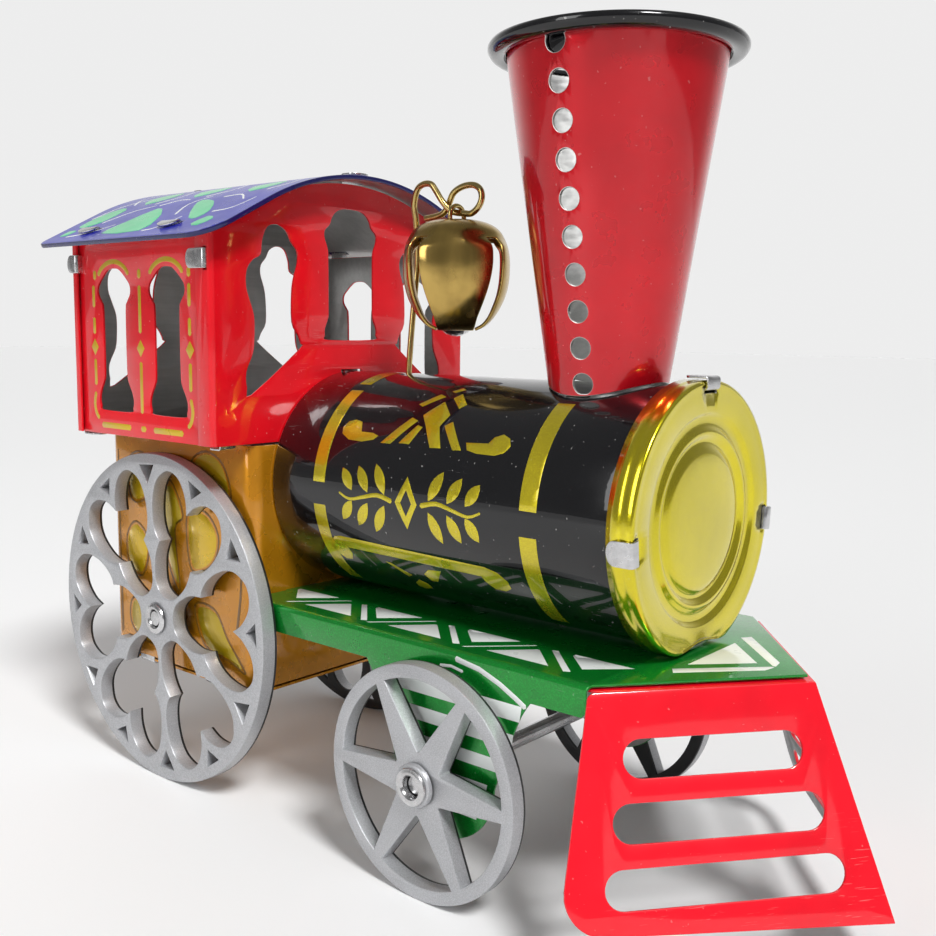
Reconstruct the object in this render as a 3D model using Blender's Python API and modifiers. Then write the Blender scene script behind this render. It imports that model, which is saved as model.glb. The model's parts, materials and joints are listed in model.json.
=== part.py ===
"""Toy train locomotive of printed tinplate, with a flywheel friction drive in its rear axle.

The locomotive runs towards +X, with its left side at +Y and the floor at z = 0. The origin is
under the middle of its length. Sizes here are in millimetres, and every mesh is built in
metres. Sheets that touch keep a small gap, and every turning piece has its origin on its axis.
"""
import math

import bmesh
import bpy
from mathutils import Matrix, Vector

MM = 0.001
GAP = 0.3                      # clearance between pieces that touch
SHEET = 0.5                    # tinplate thickness
TAB = 0.4                      # thickness of the bent fixing tabs
SLOT = 1.0                     # width of the slots they pass through
HALF_PI = math.pi / 2

# Running gear
REAR_AXLE_X = -53.4
REAR_WHEEL_R = 34.0
REAR_WHEEL_THICK = 3.4
REAR_WHEEL_FACE_Y = 30.7
REAR_WHEEL_SIDES = 48
FRONT_AXLE_X = 20.6
FRONT_WHEEL_R = 19.9
FRONT_WHEEL_THICK = 3.2
FRONT_WHEEL_FACE_Y = 31.9
FRONT_WHEEL_SIDES = 48
AXLE_R = 1.5
AXLE_BORE_R = 1.8
SPOKES = 6

# Chassis: a folded channel with a pointed front end and an apron on each side
DECK_TOP = 42.0
DECK_HALF_W = 27.0
DECK_REAR_X = -27.4
DECK_CORNER_X = 50.2
DECK_TIP_X = 72.1
SKIRT_DROP = 5.3
APRON_X = 21.5
APRON_TOP_HALF_W = 17.5
APRON_LOBE_R = 10.8
APRON_LOBE_Z = 20.5

# Cowcatcher: two plates folded on the middle line
COW_FOOT_X = 86.93             # fold line at the foot
COW_FOOT_Z = 8.4
COW_TOP_Z = 41.0
COW_SHEET = 0.6
COW_SLOT_H = 5.6

# Boiler, its front cover and the chimney
BOILER_Z = 63.6
BOILER_R = 21.3
BOILER_REAR_X = -27.4
BOILER_FRONT_X = 53.1
BOILER_TABS_X = (-12.0, 20.0)  # tabs through the deck
LUG_ANGLE = math.radians(20)   # of the lugs into the housing, below the boiler's middle
CHIMNEY_TAB_Y = 9.6
COVER_R = 22.5
COVER_FACE_X = 54.1
COVER_BAND = 4.7
COVER_TAB_ANGLES = (-6, 90, 186)   # degrees round the boiler, from its left side
CHIMNEY_X = 34.7
CHIMNEY_TOP_Z = 138.4
CHIMNEY_TOP_R = 18.2
CHIMNEY_SLOPE = 0.149          # radius lost per millimetre downwards
CHIMNEY_BASE_Z = 82.0
CHIMNEY_HOLES = 10             # the top one is half under the rim
CHIMNEY_HOLE_R = 1.72
CHIMNEY_HOLE_TOP_Z = 137.0
CHIMNEY_HOLE_PITCH = 5.78
CHIMNEY_HOLE_AZIMUTH = math.radians(-88.6)   # of the top hole
CHIMNEY_HOLE_TWIST = math.radians(0.148)     # turned per millimetre downwards

# Cab and its roof
CAB_REAR_X = -74.35
CAB_FRONT_X = -27.75
CAB_HALF_W = 35.0
CAB_FLOOR_Z = 71.4
CAB_SIDE_TOP_Z = 110.8
CORNER_TAB_Z = 105.8           # middle of the tabs that hold the side walls
CAB_FRONT_RETURN = 4.4
CAB_REAR_RETURN = 2.2
ROOF_REAR_X = -79.6
ROOF_FRONT_X = -22.4
ROOF_CROWN_Z = 123.4
ROOF_ARC_R = 54.0
ROOF_ARC_HALF_W = 25.0
ROOF_HALF_W = 40.0
ROOF_SHEET = 0.9
ROOF_CORNER_R = 6.5
ROOF_TABS_X = (-67.4, -40.1)
HOUSING_TABS_X = (-64.0, -41.0)

# Drive housing under the cab
HOUSING_REAR_X = -76.2
HOUSING_FRONT_X = -27.75
HOUSING_HALF_W = 26.1
HOUSING_BOTTOM_Z = 23.0
HOUSING_TOP_Z = 71.1
HOUSING_CORNER_R = 3.0

# Flywheel drive
GEAR_MODULE = 0.8
BIG_TEETH = 22
SMALL_TEETH = 10
GEAR_WIDTH = 3.0
IDLER_OFFSET_X = 6.0
FLYWHEEL_R = 11.0
FLYWHEEL_WIDTH = 6.0
PLATE_Y = 13.0                 # middle of each motor side plate
PLATE_SHEET = 0.8
ARBOR_R = 1.0
ARBOR_BORE_R = 1.25

# Bell and its wire
POST_X = -11.7
BELL_X = 0.5
BELL_PIVOT_Z = 115.0
BELL_CROWN_Z = 113.7
BELL_BOTTOM_Z = 93.2
BELL_TURN = math.radians(40)   # the petals' turn about the vertical
BELL_SHEET = 0.6
WIRE_R = 0.6
PELLET_R = 4.0


# ---------------------------------------------------------------- helpers

def clear_scene():
    for old in list(bpy.data.objects):
        bpy.data.objects.remove(old, do_unlink=True)


def make_collection(name):
    group = bpy.data.collections.new(name)
    bpy.context.scene.collection.children.link(group)
    return group


def make_material(name, colour, roughness, metallic):
    made = bpy.data.materials.new(name)
    made.use_nodes = True
    shader = made.node_tree.nodes["Principled BSDF"]
    shader.inputs["Base Color"].default_value = (*colour, 1.0)
    shader.inputs["Roughness"].default_value = roughness
    shader.inputs["Metallic"].default_value = metallic
    made.diffuse_color = (*colour, 1.0)
    return made


def place(name, data, material=None, at=(0, 0, 0), turn=(0, 0, 0), parent=None, group=None):
    """Link an object; its place is in millimetres, relative to its parent's origin."""
    obj = bpy.data.objects.new(name, data)
    obj.location = Vector(at) * MM
    obj.rotation_euler = turn
    obj.parent = parent
    if material is not None:
        data.materials.append(material)
    (group or PARTS).objects.link(obj)
    return obj


def axle_point(name, at):
    """An empty on a joint's axis, which carries the pieces that turn there."""
    return place(name, None, at=at)


def mesh_from(bm, name):
    """Turn a bmesh in millimetres into a mesh in metres."""
    bmesh.ops.transform(bm, matrix=Matrix.Scale(MM, 4), verts=bm.verts)
    bmesh.ops.recalc_face_normals(bm, faces=bm.faces)
    mesh = bpy.data.meshes.new(name)
    bm.to_mesh(mesh)
    bm.free()
    return mesh


def box_mesh(name, low, high):
    bm = bmesh.new()
    size = [h - l for l, h in zip(low, high)]
    middle = [(h + l) / 2 for l, h in zip(low, high)]
    bmesh.ops.create_cube(bm, size=1.0, matrix=Matrix.Translation(middle) @ Matrix.Diagonal((*size, 1)))
    return mesh_from(bm, name)


def rod_mesh(name, radius, length, sides=24, top_radius=None):
    """A rod along its local Z, centred on its origin."""
    bm = bmesh.new()
    top = radius if top_radius is None else top_radius
    bmesh.ops.create_cone(bm, cap_ends=True, segments=sides, radius1=radius, radius2=top, depth=length)
    return mesh_from(bm, name)


def smooth(mesh, angle=35):
    mesh.shade_smooth()
    mesh.set_sharp_from_angle(angle=math.radians(angle))


def turned(name, profile, material, steps=48, closed=True, **where):
    """A turned piece: its profile holds (radius, height) points, outer side from top to bottom."""
    bm = bmesh.new()
    points = [bm.verts.new((r * MM, 0, h * MM)) for r, h in profile]
    for first, second in zip(points, points[1:]):
        bm.edges.new((first, second))
    if closed:
        bm.edges.new((points[-1], points[0]))
    mesh = bpy.data.meshes.new(name)
    bm.to_mesh(mesh)
    bm.free()
    obj = place(name, mesh, material, **where)
    screw = obj.modifiers.new("turn", "SCREW")
    screw.steps = steps
    screw.render_steps = steps
    screw.use_merge_vertices = True
    screw.merge_threshold = 0.00001
    screw.use_smooth_shade = True
    return obj


PLANES = {"xy": (0, 0, 0), "xz": (HALF_PI, 0, 0), "yz": (HALF_PI, 0, HALF_PI)}


def sheet(name, outlines, thickness, material=None, plane="xy", turn=None, **where):
    """A flat plate from closed outlines; the outlines inside the first one are holes."""
    curve = bpy.data.curves.new(name, "CURVE")
    curve.dimensions = "2D"
    curve.fill_mode = "BOTH"
    curve.extrude = thickness / 2 * MM
    for outline in outlines:
        spline = curve.splines.new("POLY")
        spline.points.add(len(outline) - 1)
        for point, (x, y) in zip(spline.points, outline):
            point.co = (x * MM, y * MM, 0, 1)
        spline.use_cyclic_u = True
    return place(name, curve, material, turn=turn or PLANES[plane], **where)


def wire(name, points, radius, material, **where):
    """A round wire through the points, with closed ends."""
    curve = bpy.data.curves.new(name, "CURVE")
    curve.dimensions = "3D"
    curve.bevel_depth = radius * MM
    curve.bevel_resolution = 2
    curve.use_fill_caps = True
    spline = curve.splines.new("POLY")
    spline.points.add(len(points) - 1)
    for point, xyz in zip(spline.points, points):
        point.co = (*(Vector(xyz) * MM), 1)
    return place(name, curve, material, **where)


def to_mesh(obj):
    """Replace a curve by a closed mesh in world coordinates."""
    bpy.context.view_layer.update()
    name = obj.name
    depsgraph = bpy.context.evaluated_depsgraph_get()
    mesh = bpy.data.meshes.new_from_object(obj.evaluated_get(depsgraph))
    mesh.transform(obj.matrix_world)
    bm = bmesh.new()
    bm.from_mesh(mesh)
    bmesh.ops.remove_doubles(bm, verts=bm.verts, dist=0.000001)
    bmesh.ops.recalc_face_normals(bm, faces=bm.faces)
    bm.to_mesh(mesh)
    bm.free()
    group = obj.users_collection[0]
    bpy.data.objects.remove(obj, do_unlink=True)
    made = bpy.data.objects.new(name, mesh)
    group.objects.link(made)
    return made


def tool(target, helper, operation):
    """Cut the target with the helper, or join it on; the helper is kept as a wire guide."""
    for group in list(helper.users_collection):
        group.objects.unlink(helper)
    GUIDES.objects.link(helper)
    helper.hide_render = True
    helper.display_type = "WIRE"
    change = target.modifiers.new(helper.name, "BOOLEAN")
    change.operation = operation
    change.solver = "EXACT"
    change.object = helper


def cut(target, *helpers):
    for helper in helpers:
        tool(target, helper, "DIFFERENCE")


def join(target, *helpers):
    for helper in helpers:
        tool(target, helper, "UNION")


def guide_rod(name, radius, length, at, turn=(0, 0, 0), sides=24, top_radius=None):
    return place(name, rod_mesh(name, radius, length, sides, top_radius), at=at, turn=turn)


def guide_box(name, low, high):
    return place(name, box_mesh(name, low, high))


def strip(name, points, width, plane="xz", turn=None, at=(0, 0, 0)):
    """A bent strip of sheet along a path of right or slack angles, as a closed mesh."""
    ahead = [(Vector(b) - Vector(a)).normalized() for a, b in zip(points, points[1:])]
    left = []
    for k, point in enumerate(points):
        before = ahead[max(k - 1, 0)]
        after = ahead[min(k, len(ahead) - 1)]
        miter = Vector((-before.y - after.y, before.x + after.x)).normalized()
        reach = TAB / 2 / miter.dot(Vector((-after.y, after.x)))
        left.append((Vector(point), miter * reach))
    outline = [tuple(p + m) for p, m in left] + [tuple(p - m) for p, m in reversed(left)]
    return to_mesh(sheet(name, [outline], width, plane=plane, turn=turn, at=at))


def slot(target, name, middle, size, turn=(0, 0, 0)):
    half = [extent / 2 for extent in size]
    cutter = place(name, box_mesh(name, [-h for h in half], half), at=middle, turn=turn)
    cut(target, cutter)


def arc(centre, radius, start, end, steps):
    """Points on an arc, with its angles in degrees."""
    angles = [math.radians(start + (end - start) * k / steps) for k in range(steps + 1)]
    return [(centre[0] + radius * math.cos(a), centre[1] + radius * math.sin(a)) for a in angles]


def circle(centre, radius, sides):
    return arc(centre, radius, 0, 360, sides)[:-1]


def rounded_box(low, high, radius, steps=4):
    """A rectangle with round corners."""
    corners = ((high[0] - radius, high[1] - radius, 0), (low[0] + radius, high[1] - radius, 90),
               (low[0] + radius, low[1] + radius, 180), (high[0] - radius, low[1] + radius, 270))
    points = []
    for x, y, angle in corners:
        points += arc((x, y), radius, angle, angle + 90, steps)
    return points


def mirrored(half):
    """A closed outline from its right half, given from bottom to top."""
    return half + [(-x, y) for x, y in reversed(half) if abs(x) > 0.001]


def moved(outline, dx=0, dy=0, angle=0):
    c, s = math.cos(angle), math.sin(angle)
    return [(x * c - y * s + dx, x * s + y * c + dy) for x, y in outline]


def flipped(outline):
    return [(-x, y) for x, y in outline]


# ---------------------------------------------------------------- wheels

def wheel_rim(radius, sides):
    """A many-sided rim whose lowest side lies flat on the floor."""
    corner = radius / math.cos(math.pi / sides)
    return moved(circle((0, 0), corner, sides), angle=math.pi / sides)


def tracery_opening():
    """One opening of the rear wheel, along +X: a hub lobe, two side cusps, a rim lobe and a rim cusp."""
    hub_lobe = [(5.6, 0), (5.9, 1.8), (6.9, 3.2), (8.2, 4.1), (9.8, 4.9), (11.5, 5.5), (13.4, 5.7)]
    side_cusp = [(15.4, 5.6)]
    rim_lobe = [(15.9, 7.0), (17.2, 8.6), (19.2, 10.0), (21.5, 11.0), (24.0, 11.6), (26.3, 11.5),
                (28.2, 10.6), (29.7, 9.3), (30.35, 7.7), (30.4, 6.0), (29.9, 4.3), (28.8, 2.7),
                (27.2, 1.2)]
    upper = hub_lobe + side_cusp + rim_lobe
    return upper + [(24.9, 0)] + [(x, -y) for x, y in reversed(upper[1:])]


def rear_wheel_outlines():
    outlines = [wheel_rim(REAR_WHEEL_R, REAR_WHEEL_SIDES), circle((0, 0), 2.3, 16)]
    spoke_hole = [(27.8, 0), (31.6, -2.4), (31.6, 2.4)]
    cusp_hole = [(28.9, 0), (31.8, -2.2), (31.8, 2.2)]
    for k in range(SPOKES):
        spoke_angle = math.radians(34.3 + 60 * k)
        opening_angle = spoke_angle + math.radians(30)
        outlines.append(moved(tracery_opening(), angle=opening_angle))
        outlines.append(moved(spoke_hole, angle=spoke_angle))
        outlines.append(moved(cusp_hole, angle=opening_angle))
    return outlines


def front_wheel_outlines():
    outlines = [wheel_rim(FRONT_WHEEL_R, FRONT_WHEEL_SIDES), circle((0, 0), 2.3, 16)]
    rim_inner, hub_r, hub_half, rim_half = 17.5, 5.5, 2.6, 1.1
    hub_angle = math.degrees(math.asin(hub_half / hub_r))
    rim_angle = math.degrees(math.asin(rim_half / rim_inner))
    for k in range(SPOKES):
        start = 59 + 60 * k
        opening = arc((0, 0), rim_inner, start + rim_angle, start + 60 - rim_angle, 7)
        opening += arc((0, 0), hub_r, start + 60 - hub_angle, start + hub_angle, 2)
        outlines.append(opening)
    return outlines


def wheel_set(prefix, thickness, face_y, outlines, eyelet, parent):
    """An axle with two wheels and their steel hub eyelets, one of each on either side.

    The eyelet is a list of (radius, height above the wheel's face), from its outer end inwards.
    """
    axle_length = 2 * (face_y + 0.4)
    axle = place(prefix + "_axle", rod_mesh(prefix + "_axle", AXLE_R, axle_length, 16), STEEL,
                 turn=(HALF_PI, 0, 0), parent=parent)
    smooth(axle.data)
    for side, sign in (("right", -1), ("left", 1)):
        middle = sign * (face_y - thickness / 2)
        shape = outlines if sign < 0 else [flipped(o) for o in outlines]
        turn = (HALF_PI, 0, 0) if sign < 0 else (HALF_PI, 0, math.pi)
        sheet(f"{prefix}_wheel_{side}", shape, thickness, SILVER_PLASTIC, turn=turn,
              at=(0, middle, 0), parent=parent)
        inner, outer = face_y + GAP, face_y + eyelet[0][1]
        foot = face_y - thickness + 0.6
        profile = [(r, face_y + h) for r, h in eyelet]
        profile += [(2.05, inner), (2.05, foot), (AXLE_R + 0.2, foot), (AXLE_R + 0.2, outer)]
        turned(f"{prefix}_hub_eyelet_{side}", profile, STEEL, steps=16,
               turn=(HALF_PI * -sign, 0, 0), parent=parent)
    return axle


# ---------------------------------------------------------------- chassis and cowcatcher

def apron_outline():
    """A side skirt with its apron, in the XZ plane, as one outline."""
    bottom = DECK_TOP - SKIRT_DROP
    lobe = arc((APRON_X + 0.4, APRON_LOBE_Z), APRON_LOBE_R, 180, 360, 12)
    top = DECK_TOP - 0.1
    return [(DECK_REAR_X, top), (DECK_REAR_X, bottom), (APRON_X - APRON_TOP_HALF_W, bottom - 0.1),
            (APRON_X - 15.6, bottom - 3.0), (APRON_X - 12.6, bottom - 9.5), *lobe,
            (APRON_X + 13.4, bottom - 9.5), (APRON_X + 16.0, bottom - 3.0),
            (APRON_X + APRON_TOP_HALF_W + 0.5, bottom - 0.1), (DECK_CORNER_X - 1.0, bottom),
            (DECK_CORNER_X - 0.2, bottom + 0.8), (DECK_CORNER_X - 0.2, top)]


def make_chassis():
    edge = DECK_HALF_W - 0.15                          # the deck ends inside the folds of its skirts
    deck = [(DECK_REAR_X + 0.1, -edge), (DECK_CORNER_X, -edge), (DECK_TIP_X, 0),
            (DECK_CORNER_X, edge), (DECK_REAR_X + 0.1, edge)]
    chassis = to_mesh(sheet("chassis", [deck], SHEET, at=(0, 0, DECK_TOP - SHEET / 2)))
    chassis.data.materials.append(GREEN)
    axle_hole = circle((FRONT_AXLE_X, FRONT_WHEEL_R), 2.5, 20)
    for sign in (-1, 1):
        skirt = sheet(f"skirt_{sign}", [apron_outline(), axle_hole], SHEET, plane="xz",
                      at=(0, sign * (DECK_HALF_W - SHEET / 2), 0))
        join(chassis, to_mesh(skirt))
        lug = guide_box(f"deck_lug_{sign}", (DECK_REAR_X - 3.5, sign * 14 - 4, DECK_TOP - SHEET + 0.05),
                        (DECK_REAR_X + 2.0, sign * 14 + 4, DECK_TOP - 0.05))
        join(chassis, lug)
    for k, x in enumerate(BOILER_TABS_X):
        slot(chassis, f"boiler_tab_slot_{k + 1}", (x, 0, DECK_TOP), (5.6, SLOT, 3))
    for side, sign in (("right", -1), ("left", 1)):
        flange = DECK_HALF_W + GAP
        profile = [(3.4, flange + 0.5), (3.4, flange), (2.2, flange), (2.2, DECK_HALF_W - 2.0),
                   (AXLE_BORE_R, DECK_HALF_W - 2.0), (AXLE_BORE_R, flange + 0.5)]
        turned(f"front_bush_{side}", profile, STEEL, steps=12, turn=(HALF_PI * -sign, 0, 0),
               at=(FRONT_AXLE_X, 0, FRONT_WHEEL_R))


def make_cowcatcher():
    """One folded plate: half of it is made, and mirrored at the fold."""
    top_edge = Vector((DECK_TIP_X - DECK_CORNER_X, DECK_HALF_W, 0))
    outward = -top_edge.normalized()
    rake = (COW_FOOT_X - DECK_TIP_X - 0.9) / (DECK_TOP - COW_FOOT_Z)
    fold = Vector((rake, 0, -1)).normalized()
    normal = outward.cross(fold).normalized()
    if normal.x < 0:
        normal = -normal
    down = fold - outward * fold.dot(outward)
    down.normalize()
    fold_shift = fold.dot(outward) / fold.dot(down)      # how far the fold runs inwards per unit down
    top = (DECK_TOP - COW_TOP_Z) / -down.z
    foot = 35.4
    past = 2.5                                          # runs past the fold, where it is trimmed
    outline = [(top * fold_shift - past, top), (35.3, top)]
    outline += [(36.0, top + 1.6), (41.0, 28.0)]
    outline += arc((35.2, foot - 6.6), 5.9, 10, 90, 5)
    outline += [(foot * fold_shift - past, foot + 1.2)]
    slots = []
    for middle, inner, outer in ((10.6, 2.9, 31.0), (19.6, 0.3, 33.2), (28.6, -2.0, 35.0)):
        r = COW_SLOT_H / 2
        slots.append(arc((outer - r, middle), r, -90, 90, 6) + arc((inner + r, middle), r, 90, 270, 6))
    axes = Matrix((outward, down, outward.cross(down))).transposed().to_4x4()
    start = Vector((DECK_TIP_X + 0.9, 0, DECK_TOP))
    plate = sheet("cowcatcher", [outline, *slots], COW_SHEET, turn=axes.to_euler(),
                  at=start - normal * COW_SHEET / 2)
    plate = to_mesh(plate)
    plate.data.materials.append(RED)
    mirror = plate.modifiers.new("fold", "MIRROR")
    mirror.use_axis = (False, True, False)
    mirror.use_bisect_axis = (False, True, False)
    mirror.use_bisect_flip_axis = (False, True, False)
    mirror.merge_threshold = 0.00001
    edge = DECK_HALF_W - 0.8
    flange = [(DECK_TIP_X + 1.0, 0), (DECK_CORNER_X + 1.55, -edge), (DECK_CORNER_X - 3.6, -edge),
              (DECK_TIP_X - 4.5, 0), (DECK_CORNER_X - 3.6, edge), (DECK_CORNER_X + 1.55, edge)]
    join(plate, to_mesh(sheet("cowcatcher_flange", [flange], SHEET, at=(0, 0, COW_TOP_Z - 0.1))))


# ---------------------------------------------------------------- boiler and chimney

def make_boiler():
    length = BOILER_FRONT_X - BOILER_REAR_X
    half = length / 2
    profile = [(BOILER_R, half), (BOILER_R, -half), (BOILER_R - SHEET, -half), (BOILER_R - SHEET, half)]
    shell = turned("boiler_shell", profile, BLACK, steps=60, turn=(0, HALF_PI, 0),
                   at=((BOILER_FRONT_X + BOILER_REAR_X) / 2, 0, BOILER_Z))
    cut(shell, guide_rod("post_hole", WIRE_R + 0.35, 12, (POST_X, 0, BOILER_Z + BOILER_R)))
    wall_r = BOILER_R - SHEET / 2
    leaf = DECK_TOP - SHEET - GAP - TAB / 2
    for k, x in enumerate(BOILER_TABS_X):
        join(shell, strip(f"boiler_tab_{k + 1}", [(0, BOILER_Z - wall_r), (0, leaf), (3.5, leaf)], 5.0,
                          plane="yz", at=(x, 0, 0)))
    back = CAB_FRONT_X - SHEET - GAP - TAB / 2
    join(shell, strip("boiler_cab_tab", [(BOILER_REAR_X + 1, BOILER_Z + wall_r),
                                         (back, BOILER_Z + wall_r), (back, BOILER_Z + wall_r + 3.4)], 5.0))
    for sign in (-1, 1):
        lug = place(f"boiler_housing_lug_{sign}", box_mesh("lug", (-2, -0.18, -1.5), (2, 0.18, 1.5)),
                    at=(CAB_FRONT_X - 0.4, *lug_spot(sign)), turn=(-sign * LUG_ANGLE, 0, 0))
        join(shell, lug)
    for sign in (-1, 1):
        slot(shell, f"chimney_tab_slot_{sign}", (CHIMNEY_X, sign * CHIMNEY_TAB_Y, BOILER_Z + 19),
             (4.6, SLOT, 8))
    face, band = COVER_FACE_X, COVER_BAND
    rings = [(0.0, -0.35), (6.0, -0.45), (11.5, -0.7), (12.7, -1.3), (14.0, -0.45), (15.2, -1.0),
             (16.6, -1.0), (17.5, -0.25), (20.5, -0.25), (21.9, -0.05), (COVER_R, -0.4),
             (COVER_R, -band)]
    cover = turned("boiler_front_cover", [(r, face + z) for r, z in rings], GOLD, steps=36,
                   closed=False, turn=(0, HALF_PI, 0), at=(0, 0, BOILER_Z))
    thick = cover.modifiers.new("sheet", "SOLIDIFY")
    thick.thickness = 0.4 * MM
    thick.offset = -1
    cut(cover, guide_box("deck_dent", (face - 10, -20, BOILER_Z - 30),
                         (face + 10, 20, DECK_TOP + GAP)))
    tab_x, tab_r = COVER_FACE_X + GAP + TAB / 2, COVER_R + GAP + TAB / 2
    for k, degrees in enumerate(COVER_TAB_ANGLES):
        spoke = math.radians(degrees)
        path = [(BOILER_FRONT_X - 1.6, wall_r), (tab_x, wall_r), (tab_x, tab_r), (tab_x - 4.6, tab_r)]
        join(shell, strip(f"cover_tab_{k + 1}", path, 4.0, turn=(spoke, 0, 0), at=(0, 0, BOILER_Z)))
        slot(cover, f"cover_tab_slot_{k + 1}",
             (COVER_FACE_X, wall_r * math.cos(spoke), BOILER_Z + wall_r * math.sin(spoke)),
             (3, SLOT, 4.6), turn=(spoke, 0, 0))


def lug_spot(sign):
    """Where the boiler's lugs meet the housing: across the middle line, and height."""
    wall_r = BOILER_R - SHEET / 2
    return sign * wall_r * math.cos(LUG_ANGLE), BOILER_Z - wall_r * math.sin(LUG_ANGLE)


def make_chimney():
    base_r = CHIMNEY_TOP_R - CHIMNEY_SLOPE * (CHIMNEY_TOP_Z - CHIMNEY_BASE_Z)
    profile = [(CHIMNEY_TOP_R, CHIMNEY_TOP_Z), (base_r, CHIMNEY_BASE_Z),
               (base_r - SHEET, CHIMNEY_BASE_Z), (CHIMNEY_TOP_R - SHEET, CHIMNEY_TOP_Z)]
    cone = turned("chimney", profile, RED, steps=44, at=(CHIMNEY_X, 0, 0))
    saddle = guide_rod("chimney_saddle", BOILER_R + GAP, 60, (CHIMNEY_X, 0, BOILER_Z),
                       turn=(0, HALF_PI, 0), sides=60)
    cut(cone, saddle)
    for sign in (-1, 1):
        ys = sorted((sign * (CHIMNEY_TAB_Y - TAB / 2), sign * (CHIMNEY_TAB_Y + TAB / 2)))
        join(cone, guide_box(f"chimney_tab_{sign}", (CHIMNEY_X - 2, ys[0], 79.5),
                             (CHIMNEY_X + 2, ys[1], 84.5)))
    for k in range(CHIMNEY_HOLES):
        z = CHIMNEY_HOLE_TOP_Z - k * CHIMNEY_HOLE_PITCH
        r = CHIMNEY_TOP_R - CHIMNEY_SLOPE * (CHIMNEY_TOP_Z - z)
        azimuth = CHIMNEY_HOLE_AZIMUTH + k * CHIMNEY_HOLE_PITCH * CHIMNEY_HOLE_TWIST
        spot = (CHIMNEY_X + r * math.cos(azimuth), r * math.sin(azimuth), z)
        cut(cone, guide_rod(f"vent_{k + 1}", CHIMNEY_HOLE_R, 8, spot, sides=12,
                            turn=(HALF_PI, 0, azimuth + HALF_PI)))
    inner = CHIMNEY_TOP_R + GAP
    lip = [(20.4, 139.8), (20.95, 139.6), (21.2, 139.1), (21.1, 138.4), (20.5, 137.8), (19.7, 137.5),
           (inner, 137.6), (inner, CHIMNEY_TOP_Z + GAP), (17.6, CHIMNEY_TOP_Z + GAP), (17.9, 139.3),
           (18.7, 139.75)]
    turned("chimney_rim", lip, BLACK, steps=48, at=(CHIMNEY_X, 0, 0))


# ---------------------------------------------------------------- cab and roof

def roof_height(y):
    """Height of the roof's top surface: a round crown, with straight slopes to the eaves."""
    y = abs(y)
    if y <= ROOF_ARC_HALF_W:
        return ROOF_CROWN_Z - ROOF_ARC_R + math.sqrt(ROOF_ARC_R ** 2 - y ** 2)
    slope = ROOF_ARC_HALF_W / math.sqrt(ROOF_ARC_R ** 2 - ROOF_ARC_HALF_W ** 2)
    return roof_height(ROOF_ARC_HALF_W) - slope * (y - ROOF_ARC_HALF_W)


def roof_line(half_width, below, steps):
    """Points across the roof from +Y to -Y, a given depth below its top surface."""
    ys = [half_width * (1 - 2 * k / steps) for k in range(steps + 1)]
    return [(y, roof_height(y) - below) for y in ys]


def side_window(x):
    """A window of a side wall: a wide foot, a narrow waist, shoulders and a round head."""
    half = [(5.0, 76.4), (5.9, 77.3), (6.1, 78.7), (5.3, 80.7), (4.05, 83.2), (4.05, 97.3), (5.4, 98.9),
            (5.8, 100.3), (5.2, 101.7), (3.4, 102.9), *arc((0, 101.6), 3.0, 20, 90, 3)]
    return moved(mirrored(half), dx=x)


def end_window(y, low, high, waist=4.1, slant=0.0):
    """A window of an end wall; a slant lifts the foot's inner corner."""
    head, foot = waist + 1.6, waist + 1.3
    dome = arc((0, high - 3.4), 3.4, 15, 90, 3)
    half = [(foot - 0.9, low), (foot, low + 1.4), (foot - 0.2, low + 3.0), (waist, low + 6.0),
            (waist, high - 12.5), (head, high - 9.0), (head, high - 6.4), (head - 1.5, high - 4.6),
            (3.9, high - 4.0), *dome]
    outline = mirrored(half)
    lifted = []
    for px, pz in outline:
        lift = slant * (px + foot) / (2 * foot) if pz < low + 7 else 0
        lifted.append((px, pz + lift))
    return moved(lifted, dx=y)


def cab_end(name, x, sign, returned):
    """An end wall with a returned flange down each side."""
    below_roof = ROOF_SHEET + GAP
    edge = CAB_HALF_W - 0.12                           # the wall ends inside the folds of its flanges
    top = roof_line(edge, below_roof, 20)
    wall = [(edge, CAB_FLOOR_Z + 0.1)] + top + [(-edge, CAB_FLOOR_Z + 0.1)]
    windows = [end_window(0, 91.1 if sign > 0 else 84.0, 117.0, waist=5.9)]
    for side in (-1, 1):
        shape = end_window(-20.6, 80.8, 112.6, slant=8.0 if sign > 0 else 0.0)
        windows.append(shape if side < 0 else flipped(shape))
    end = to_mesh(sheet(name, [wall, *windows], SHEET, plane="yz", at=(x - sign * SHEET / 2, 0, 0)))
    end.data.materials.append(RED)
    for side in (-1, 1):
        outer = side * CAB_HALF_W
        inner = side * (CAB_HALF_W - SHEET)
        far = x - sign * returned
        low = (min(x - sign * 0.1, far), min(outer, inner), CAB_FLOOR_Z)
        high = (max(x - sign * 0.1, far), max(outer, inner), CAB_SIDE_TOP_Z)
        join(end, guide_box(f"{name}_return_{side}", low, high))
    middle = x - sign * SHEET / 2
    over = ROOF_CROWN_Z + GAP + TAB / 2
    leaf = CAB_FLOOR_Z - GAP - TAB / 2
    join(end, strip(f"{name}_ridge_tab", [(middle, 120.0), (middle, over), (middle + sign * 3.9, over)],
                    5.0))
    for side in (-1, 1):
        join(end, strip(f"{name}_floor_tab_{side}", [(middle, CAB_FLOOR_Z + 1.2), (middle, leaf),
                                                     (middle - sign * 4.0, leaf)],
                        3.5, at=(0, side * 31.5, 0)))
    return end


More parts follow.
